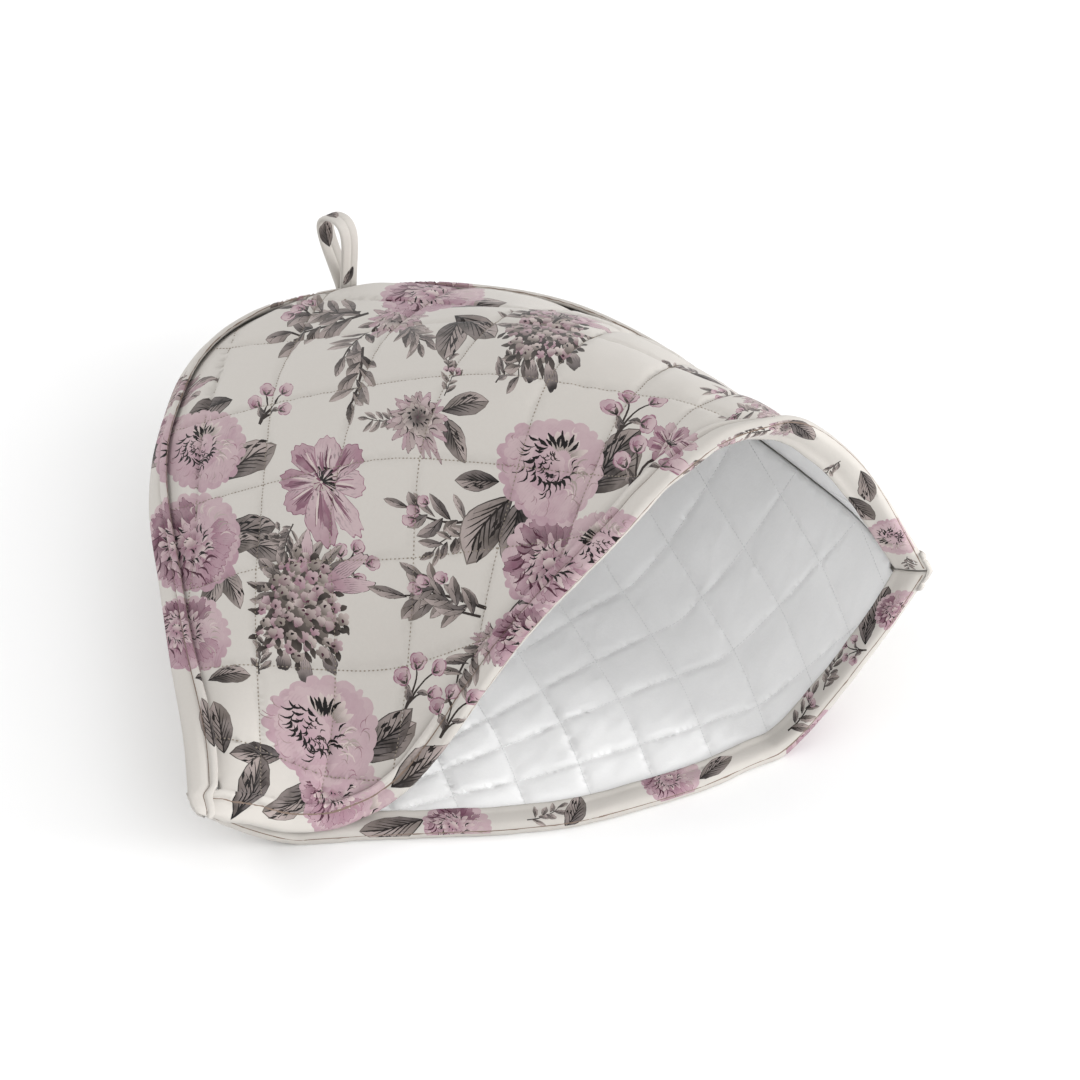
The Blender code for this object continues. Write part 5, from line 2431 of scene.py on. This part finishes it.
    def onto(
        self, tube: Tube, side: Side, left: bool, fold: float, sign: float
    ) -> Callable[[Array], Array]:
        """How a panel's flat places come to lie on the band.

        Args:
            tube: The band.
            side: The panel.
            left: Whether the band's left half is meant.
            fold: Length round at which the band is folded over the seam.
            sign: Which way round the panel's leg runs.

        Returns:
            A function from flat places to length along and length round.
        """
        pattern = PATTERNS[side]
        v = np.linspace(self.first, 1, self.stations)
        first = len(self.downs)
        run = tube.along[first : first + self.stations]
        table = FORM.left_seam
        if not left:
            run = tube.along[first + self.stations - 1 : first + 2 * self.stations - 1][::-1]
            table = FORM.right_seam
        ahead, behind = (FORM.seam(table, np.clip(v + s, 0, 1)) for s in (0.01, -0.01))
        way = unit((ahead - behind)[:, :2])

        def to_band(flat: Array) -> Array:
            """Puts flat places on the band."""
            row = np.interp(flat[:, 1], pattern.rise, pattern.even)
            width = np.interp(row, pattern.even, pattern.width)
            off = width / 2 + (flat[:, 0] if left else -flat[:, 0])
            x, y = (np.interp(row, v, np.abs(way[:, a])) for a in (0, 1))
            turn = 1.0 if left else -1.0
            along = np.interp(row, v, run) + turn * (np.minimum(flat[:, 1], 0) + off * x)
            return np.stack([along, fold + sign * off * y], -1)

        return to_band

    def tube(self) -> Tube:
        """The band's profile along the whole dome seam and down over both corners."""
        v = np.linspace(self.first, 1, self.stations)
        sections = list(self.sections(FORM.left_seam, v))
        sections += list(self.sections(FORM.right_seam, v))[-2::-1]
        whole = np.array([*self.corner_sections(0), *sections, *self.corner_sections(1)[::-1]])
        whole[..., 2] = np.maximum(whole[..., 2], ON_FLOOR)
        return Tube(whole)

    def build(self, loop: bpy.types.Object) -> bpy.types.Object:
        tube = self.tube()
        fold, middle = tube.round[SEAM_NOSE], tube.along[len(tube.along) // 2]
        patches: list[Patch] = []
        for side, sign, low, high in (
            (Side.FRONT, -1.0, BAND_MARGIN, fold),
            (Side.BACK, 1.0, fold, tube.round[SEAM_END]),
        ):
            for left in (True, False):
                to_band = self.onto(tube, side, left, fold, sign)
                found = carried(self.prints[side], to_band, low, high)
                for patch in found:
                    patch.outline = cropped(patch.outline, 0, middle, 1.0 if left else -1.0)
                patches += [patch for patch in found if len(patch.outline) > 2]
        # Thin lines of painted shade along the seam band's ditches and at the feet of its folds.
        patches += [
            line_on(tube, float(tube.round[k : k + 2].mean()), 0.36 * MM, DITCH_SHADE_INK, 60 + k)
            for k in self.line_rows
        ]
        piece = printed_tube(self.name, tube, BAND_PITCH, patches, Finish.PRINT.value.ground)
        declare(piece, Finish.PRINT, self.node)
        flat = (float(tube.round[-1] / 2), float(tube.along[-1]))
        return piece


@dataclass
class HangingLoop:
    """A narrow doubled strip bent into a teardrop, both ends on the top of the dome seam."""

    name: str = "hanging_loop_strip"
    node: str = "hanging_loop"
    strip: float = 0.0075
    thick: float = 0.0018
    rise: float = 0.0285
    spread: float = 0.0150
    foot: float = 0.0050
    turn: float = math.radians(20)
    lean: float = math.radians(30)
    tip: tuple[float, float, float] = (0.15, -0.09, 0.0)
    stations: int = 90
    patches: list[Patch] = field(default_factory=list)

    def profile(self) -> list[Flat]:
        """The doubled strip's section, over its width and its thickness: two plies, one fold."""
        lower = [
            (0.50, 0.0),
            (0.485, -0.28),
            (0.44, -0.42),
            (0.30, -0.50),
            (0.08, -0.50),
            (0.02, -0.36),
            (-0.04, -0.50),
            (-0.30, -0.50),
            (-0.44, -0.42),
            (-0.485, -0.28),
            (-0.50, 0.0),
        ]
        upper = [(across, -out) for across, out in lower[-2:0:-1]]
        return upper[-2:] + lower + upper[:-2]

    def tube(self) -> Tube:
        """The strip's profile round the loop."""
        wide = np.array([math.cos(self.turn), math.sin(self.turn), 0.0])
        flat = math.sin(self.lean)
        up_way = (-math.sin(self.turn) * flat, math.cos(self.turn) * flat, math.cos(self.lean))
        up_way = unit(unit(np.array(up_way)) + np.array(self.tip))
        wide = unit(wide - up_way * (wide @ up_way))
        aside_way = unit(np.cross(wide, up_way))
        foot = FORM.seam(FORM.left_seam, 1.0) + up_way * (LAYERS.seam_out + self.foot)
        way = np.linspace(-1, 1, self.stations)
        up = self.rise * (1 - np.abs(way) ** 2.2)
        aside = self.spread / 2 * np.sin(np.pi * way) + self.thick * 0.6 * way**5
        centre = np.stack([up, aside], -1)
        along = unit(np.gradient(centre, axis=0))
        sections = []
        for (height, out), (a, b) in zip(centre, along):
            middle = foot + up_way * height + aside_way * out
            face = up_way * -b + aside_way * a
            sections.append(
                [middle + wide * self.strip * s + face * self.thick * t for s, t in self.profile()]
            )
        return Tube(np.array(sections))

    def build(self) -> bpy.types.Object:
        tube = self.tube()
        piece = printed_tube(self.name, tube, 0.0012, self.patches, Finish.PRINT.value.ground)
        declare(piece, Finish.PRINT, self.node)
        return piece


# ---------------------------------------------------------------- stage


@dataclass(frozen=True)
class Studio:
    """A pale floor, soft lights and a long lens."""

    azimuth: float = -20.0
    elevation: float = 41.5
    view_width: float = 0.3996
    distance: float = 10.0
    aim_right: float = 0.1269
    aim_up: float = 0.1006
    floor_half: float = 6.0
    room: float = 0.82

    def axes(self) -> tuple[Array, Array, Array]:
        """The view's right, up and back."""
        a, e = math.radians(self.azimuth), math.radians(self.elevation)
        back = np.array([math.sin(a) * math.cos(e), -math.cos(a) * math.cos(e), math.sin(e)])
        right = np.array([math.cos(a), math.sin(a), 0.0])
        return right, np.cross(back, right), back

    def camera(self) -> None:
        """Makes the camera."""
        right, up, back = self.axes()
        corner = np.array([0.0, 0.0, FORM.left_seam[0][3]]) - FORM.centre
        aim = corner + right * self.aim_right + up * self.aim_up
        lens = bpy.data.cameras.new("camera")
        lens.sensor_width = 36.0
        lens.lens = lens.sensor_width * self.distance / self.view_width
        lens.clip_start, lens.clip_end = 0.1, 60.0
        camera = bpy.data.objects.new("camera", lens)
        camera.location = Vector(aim + back * self.distance)
        camera.rotation_mode = "QUATERNION"
        camera.rotation_quaternion = Vector(-back).to_track_quat("-Z", "Y")
        bpy.context.scene.collection.objects.link(camera)
        bpy.context.scene.camera = camera

    def floor(self) -> None:
        """Makes the pale floor."""
        half = self.floor_half
        mesh = bpy.data.meshes.new("floor")
        corners = [(-half, -half, 0), (half, -half, 0), (half, half, 0), (-half, half, 0)]
        mesh.from_pydata(corners, [], [(0, 1, 2, 3)])
        floor = bpy.data.objects.new("floor", mesh)
        bpy.context.scene.collection.objects.link(floor)
        tree = Tree("floor_paper")
        shader = tree.nodes.new("ShaderNodeBsdfPrincipled")
        shader.inputs["Base Color"].default_value = (0.93, 0.93, 0.93, 1)
        shader.inputs["Roughness"].default_value = 0.9
        shader.inputs["Specular IOR Level"].default_value = 0.1
        out = tree.nodes.new("ShaderNodeOutputMaterial")
        tree.links.new(shader.outputs[0], out.inputs[0])
        mesh.materials.append(tree.material)

    def light(self, name: str, place: Sequence[float], size: float, watts: float) -> None:
        """Adds one soft white light aimed at the cosy."""
        data = bpy.data.lights.new(name, "AREA")
        data.shape, data.size, data.energy, data.color = "DISK", size, watts, WHITE
        lamp = bpy.data.objects.new(name, data)
        lamp.location = Vector(place)
        aim = Vector((0.0, 0.0, 0.05)) - lamp.location
        lamp.rotation_mode = "QUATERNION"
        lamp.rotation_quaternion = aim.to_track_quat("-Z", "Y")
        bpy.context.scene.collection.objects.link(lamp)

    def build(self) -> None:
        """Builds the stage."""
        bpy.context.scene.view_settings.view_transform = "Standard"
        self.camera()
        self.floor()
        for name, place, size, watts in (
            ("side", (1.7, -1.0, 0.45), 0.8, 24.0),
            ("right", (1.9, -0.2, 1.1), 1.0, 4.0),
            ("front", (0.3, -1.9, 1.2), 1.4, 11.0),
            ("back", (-1.2, 1.2, 1.6), 1.2, 13.0),
        ):
            self.light(name, place, size, watts)
        world = bpy.data.worlds.new("soft_room")
        world.use_nodes = True
        sky = world.node_tree.nodes["Background"]
        sky.inputs["Color"].default_value = (*WHITE, 1)
        sky.inputs["Strength"].default_value = self.room
        bpy.context.scene.world = world


def spots(*rows: tuple) -> tuple[Spot, ...]:
    """Spots from rows of motif, across, up and size in mm, turn in degrees, tone and seed."""
    return tuple(Spot(*row) for row in rows)


# The print's motifs, lowest first, on the flat pattern of each panel.
PEONY, OPEN, DAISY, CLUSTER, TWIG, BUDS, LEAF = Motif
FRONT_SPOTS = spots(
    # left edge
    (LEAF, -76, 186, 9.2, 200, 0.8, 3),
    (TWIG, -82, 228, 20, 245, 0.9, 145),
    (TWIG, -88, 212, 17, 215, 0.8, 146),
    (DAISY, -86, 216, 11, 0, 0, 147),
    (PEONY, -96, 198, 11, 0, 0.9, 148),
    (LEAF, -100, 186, 9, 300, 1.0, 149),
    (BUDS, -66, 155, 10.4, -20, 0, 4),
    (LEAF, -84, 134, 12.1, 32, 0.35, 5),
    (PEONY, -90, 163, 16.6, 20, 0.15, 6),
    (LEAF, -103, 99, 10.9, 10, 1.0, 7),
    (LEAF, -103, 89, 9.8, -15, 0.6, 8),
    (LEAF, -122, 82, 8, 300, 0.4, 9),
    (LEAF, -128, 88, 8, 250, 0.5, 10),
    (LEAF, -110, 96, 8, 20, 0.5, 10),
    (PEONY, -120, 117, 18.7, 70, 0.85, 11),
    (PEONY, -144, 76, 14.6, 10, 1.0, 12),
    (LEAF, -141, 49, 7.5, 8, 0.6, 13),
    (TWIG, -131, 46, 13, 75, 0.9, 14),
    # hanging cluster
    (TWIG, -96, 52, 20.1, 205, 0.3, 15),
    (BUDS, -84, 61, 10.4, -62, 0, 16),
    (TWIG, -97, 72, 14.2, 110, 0.9, 17),
    (CLUSTER, -103, 60, 23, 0, 0, 18),
    # open flower
    (TWIG, -88, 84, 10.6, 245, 1.0, 19),
    (OPEN, -70, 93, 17.2, 0, 0, 20),
    # daisy
    (TWIG, -32, 94, 12.5, 178, 0.7, 21),
    (LEAF, -20, 70, 8, -68, 0.5, 22),
    (LEAF, -10, 80, 8.6, 12, 0.5, 23),
    (TWIG, -14, 92, 11.8, 75, 0.2, 24),
    (DAISY, -27, 88, 12.4, 10, 0, 25),
    (TWIG, 4, 83, 13, 60, 0.9, 26),
    (TWIG, -6, 108, 7.1, 80, 0.8, 27),
    # double flower at the hem
    (TWIG, -30, 42, 23.6, 168, 0.4, 28),
    (TWIG, -31, 38, 17.7, 205, 0.9, 29),
    (TWIG, -36, 12, 28.3, 172, 0.8, 30),
    (TWIG, -40, 12, 23.6, 145, 0.3, 31),
    (TWIG, -40, 2, 21.2, 235, 0.8, 32),
    (LEAF, -21, 52, 8, 178, 0.9, 33),
    (LEAF, -25, 35, 14.9, 236, 0.45, 34),
    (LEAF, -15, 25, 12.6, 262, 1.0, 35),
    (LEAF, 33, 17, 13.8, 38, 0.4, 36),
    (LEAF, 35, 21, 12.6, 47, 0.9, 37),
    (BUDS, 38, 32, 13, -30, 0, 38),
    (BUDS, 42, 3, 13, -25, 0, 39),
    (DAISY, -37, -2, 9.2, 0, 0, 40),
    (LEAF, -22, -2, 10.3, 240, 0.9, 41),
    (PEONY, -22, -16, 14.6, 0, 0.9, 42),
    (PEONY, -1, 2, 19.8, 30, 0.9, 43),
    (PEONY, 20, -9, 13.5, 80, 0.3, 44),
    (PEONY, 8, 36, 20.8, 0, 0.05, 45),
    # low left corner
    (BUDS, -83, 14, 12.3, -30, 0, 46),
    (LEAF, -99, 8, 13.8, 28, 0.35, 47),
    (LEAF, -97, 11, 12.6, 38, 0.9, 48),
    (LEAF, -152, 17, 8.6, 178, 1.0, 49),
    (LEAF, -143, 2, 11.5, 215, 0.6, 50),
    (BUDS, -72, -6, 11.7, -30, 0, 46),
    (LEAF, -88, -9, 12.6, 30, 0.4, 47),
    (PEONY, -117, -9, 16.6, 10, 0.3, 51),
    (PEONY, -124, 3, 15.6, 20, 0.95, 52),
    (PEONY, -121, 21, 21.8, 5, 0.05, 53),
    (LEAF, -158, 30, 9.2, 100, 0.4, 54),
    (LEAF, -160, 4, 10.3, 80, 0.9, 55),
    # top
    (TWIG, -4, 200, 30.7, 186, 0.7, 56),
    (TWIG, -6, 204, 28.3, 160, 0.4, 57),
    (TWIG, -2, 185, 26, 235, 0.7, 58),
    (TWIG, 2, 170, 18.9, 290, 0.6, 59),
    (TWIG, -20, 160, 24, 262, 0.8, 141),
    (TWIG, 0, 172, 20, 305, 0.9, 142),
    (TWIG, 6, 190, 22, 285, 0.7, 143),
    (DAISY, 2, 184, 13, 0, 0, 60),
    (DAISY, 10, 196, 11, 40, 0, 144),
    (LEAF, 6, 134, 11.5, 258, 0.5, 61),
    (LEAF, 16, 137, 12, 312, 0.6, 62),
    (LEAF, 31, 186, 14, 10, 0.6, 63),
    (PEONY, 26, 214, 20, 0, 0.85, 64),
    (TWIG, 32, 104, 18.9, 235, 0.6, 65),
    (CLUSTER, 37, 118, 21.6, 0, 0, 66),
    (BUDS, 45, 128, 10.4, -30, 0, 67),
    # right
    (OPEN, 60, 5, 8.3, 0, 0, 68),
    (LEAF, 84, 66, 9.2, -30, 0.5, 69),
    (TWIG, 84, 74, 11.8, 150, 0.7, 70),
    (TWIG, 92, 33, 15.3, 150, 0.3, 71),
    (TWIG, 96, 30, 14.2, 30, 0.7, 72),
    (DAISY, 96, 32, 9.2, 0, 0, 73),
    (TWIG, 101, 14, 14, 165, 0.3, 150),
    (TWIG, 106, 10, 13, 25, 0.9, 151),
    (LEAF, 112, 8, 8, -20, 0.9, 152),
    (DAISY, 103, 9, 9, 0, 0, 153),
)

BACK_SPOTS = spots(
    (TWIG, -70, 60, 26, 150, 0.7, 80),
    (LEAF, -55, 48, 14.9, -40, 0.5, 81),
    (LEAF, -98, 66, 14.9, 170, 0.8, 82),
    (PEONY, -78, 62, 22.9, 20, 0.1, 83),
    (PEONY, -80, 28, 19.8, 60, 0.9, 84),
    (BUDS, -52, 20, 13, 10, 0, 85),
    (CLUSTER, -25, 92, 24.3, 20, 0, 86),
    (OPEN, 12, 50, 17.7, 0, 0, 87),
    (TWIG, -12, 20, 23.6, 20, 0.5, 88),
    (DAISY, 30, 100, 13.8, 0, 0, 89),
    (LEAF, 44, 96, 9.2, -10, 0.5, 90),
    (TWIG, 22, 108, 21.2, 120, 0.6, 91),
    (LEAF, 96, 30, 14.9, 40, 0.6, 92),
    (LEAF, 60, 24, 14.9, 200, 0.8, 93),
    (PEONY, 78, 30, 21.8, 0, 0.1, 94),
    (PEONY, 92, 4, 18.7, 50, 0.9, 95),
    (BUDS, 108, 52, 13, 0, 0, 96),
    (PEONY, -66, 150, 18.7, 0, 0.2, 97),
    (PEONY, -88, 128, 16.6, 0, 0.9, 98),
    (TWIG, -50, 160, 23.6, 40, 0.6, 99),
    (PEONY, 70, 140, 19.8, 0, 0.85, 100),
    (LEAF, 52, 150, 13.8, 150, 0.6, 101),
    (CLUSTER, 98, 96, 21.6, 0, 0, 102),
    (OPEN, -5, 165, 15.6, 0, 0, 103),
    (PEONY, 10, 225, 19.8, 0, 0.1, 104),
    (TWIG, 30, 190, 23.6, 60, 0.6, 105),
    (TWIG, -30, 205, 23.6, 140, 0.6, 106),
)

# On the bands: along from the low left corner or the loop's foot, and up from the fold.
BACK_HEM_SPOTS = spots(
    (LEAF, 100, 5, 12, 190, 0.4, 110),
    (PEONY, 124, 3, 13, 0, 0.6, 111),
    (TWIG, 150, 4, 14, 20, 0.6, 112),
    (LEAF, 168, 6, 8, 60, 0.7, 113),
    (PEONY, 208, 9, 12, 0, 0.7, 114),
    (LEAF, 226, 6, 8, 15, 0.5, 115),
    (TWIG, 262, 6, 18, 10, 0.3, 116),
    (TWIG, 284, 6, 14, 20, 0.8, 117),
    (BUDS, 306, 4, 7, 40, 0, 118),
    (LEAF, 316, 8, 8, 30, 1.0, 119),
    (LEAF, 326, 9, 9, 10, 1.0, 159),
    (PEONY, 326, 2, 9, 0, 0.9, 160),
)
FRONT_HEM_SPOTS = spots(
    (TWIG, 268, 5, 10, 200, 0.4, 120),
    (DAISY, 276, 6, 8, 0, 0, 154),
    (TWIG, 294, 2, 11, 190, 0.8, 155),
    (DAISY, 300, 2, 8, 0, 0, 156),
    (LEAF, 308, 3, 7, 20, 0.9, 121),
    (TWIG, 331, 6, 9, 70, 0.8, 122),
    (LEAF, 347, 5, 7, 15, 0.5, 157),
    (LEAF, 355, 10, 7, -10, 0.6, 158),
    (PEONY, 373, 6, 10, 0, 0.1, 123),
    (TWIG, 384, 4, 8, 10, 0.7, 124),
)
LOOP_SPOTS = spots(
    (LEAF, 23, 13.3, 6.5, 4, 0.7, 130),
    (LEAF, 35, 5, 4.5, 20, 0.8, 131),
    (LEAF, 66, 6, 4, 30, 1.0, 132),
)


def main() -> None:
    """Builds every piece in order."""
    logging.basicConfig(level=logging.INFO, format="%(relativeCreated)d %(message)s")
    front_quilt = Quilting(
        (
            fan(
                (58, 165),
                (58, 136),
                (53, 106.6),
                (48, 74.9),
                (46.3, 36.2),
                (47, 0),
                (50, -38),
                (52, -76),
                (54, -112),
                (56, -150),
            ),
            fan(
                (-50, 146),
                (-50, 107.7),
                (-46.5, 67),
                (-41, 32.2),
                (-32.2, 9.8),
                (-27.1, -15.1),
                (-25, -45),
            ),
        )
    )
    back_quilt = Quilting(
        (
            fan(*((52, o) for o in range(-170, 200, 33))),
            fan(*((-38, o) for o in range(-170, 290, 33))),
        )
    )
    lining_quilt = Quilting(
        (
            fan(*((90, -5 - o) for o in range(-150, 151, 25))),
            fan(
                (2, -4, -1.2),
                (7, 19, -1.8),
                (16.5, 40.5, -1.8),
                (23.5, 56.7, -1.2),
                (30, 73, -1.0),
                (33, 95, -1.0),
                (35, 120, -0.9),
                (36, 146, -0.7),
                (36, 172, -0.4),
                (36, 200),
            ),
        ),
        0.45,
    )
    prints = {
        Side.FRONT: Print(Side.FRONT, FRONT_SPOTS, True).patches,
        Side.BACK: Print(Side.BACK, BACK_SPOTS, False).patches,
    }
    # Dark beads along the quilting lines, partly thread and partly painted shade of the needle
    # holes.
    seams = Stitching(Finish.THREAD)
    for side, quilt, name, node in (
        (Side.FRONT, front_quilt, "front_panel_cloth", "front_panel"),
        (Side.BACK, back_quilt, "back_panel_cloth", "back_panel"),
    ):
        Quilted(side, quilt, name, node, sewing=seams, patches=prints[side]).build()
    # Grey beads along the lining's quilting lines, partly thread and partly painted shade in the
    # creases.
    soft = Stitching(Finish.PALE_THREAD, length=0.0013, width=0.0004)
    for side, name, node in (
        (Side.FRONT, "front_lining_cloth", "front_lining"),
        (Side.BACK, "back_lining_cloth", "back_lining"),
    ):
        Lining(side, lining_quilt, name, node, sewing=soft).build("back_panel_cloth")
    hems = {}
    for side, name, node, inner in (
        (Side.FRONT, "front_hem_band", "front_hem_binding", FRONT_HEM_SPOTS),
        (Side.BACK, "back_hem_band", "back_hem_binding", BACK_HEM_SPOTS),
    ):
        band = HemBand(side, name, node, patches=prints[side], inner_spots=inner)
        band.build()
        hems[side] = band.tube()
    loop = HangingLoop(patches=drawn_flat(LOOP_SPOTS)).build()
    SeamBand(prints, hems).build(loop)
    Studio().build()


if __name__ == "__main__":
    main()
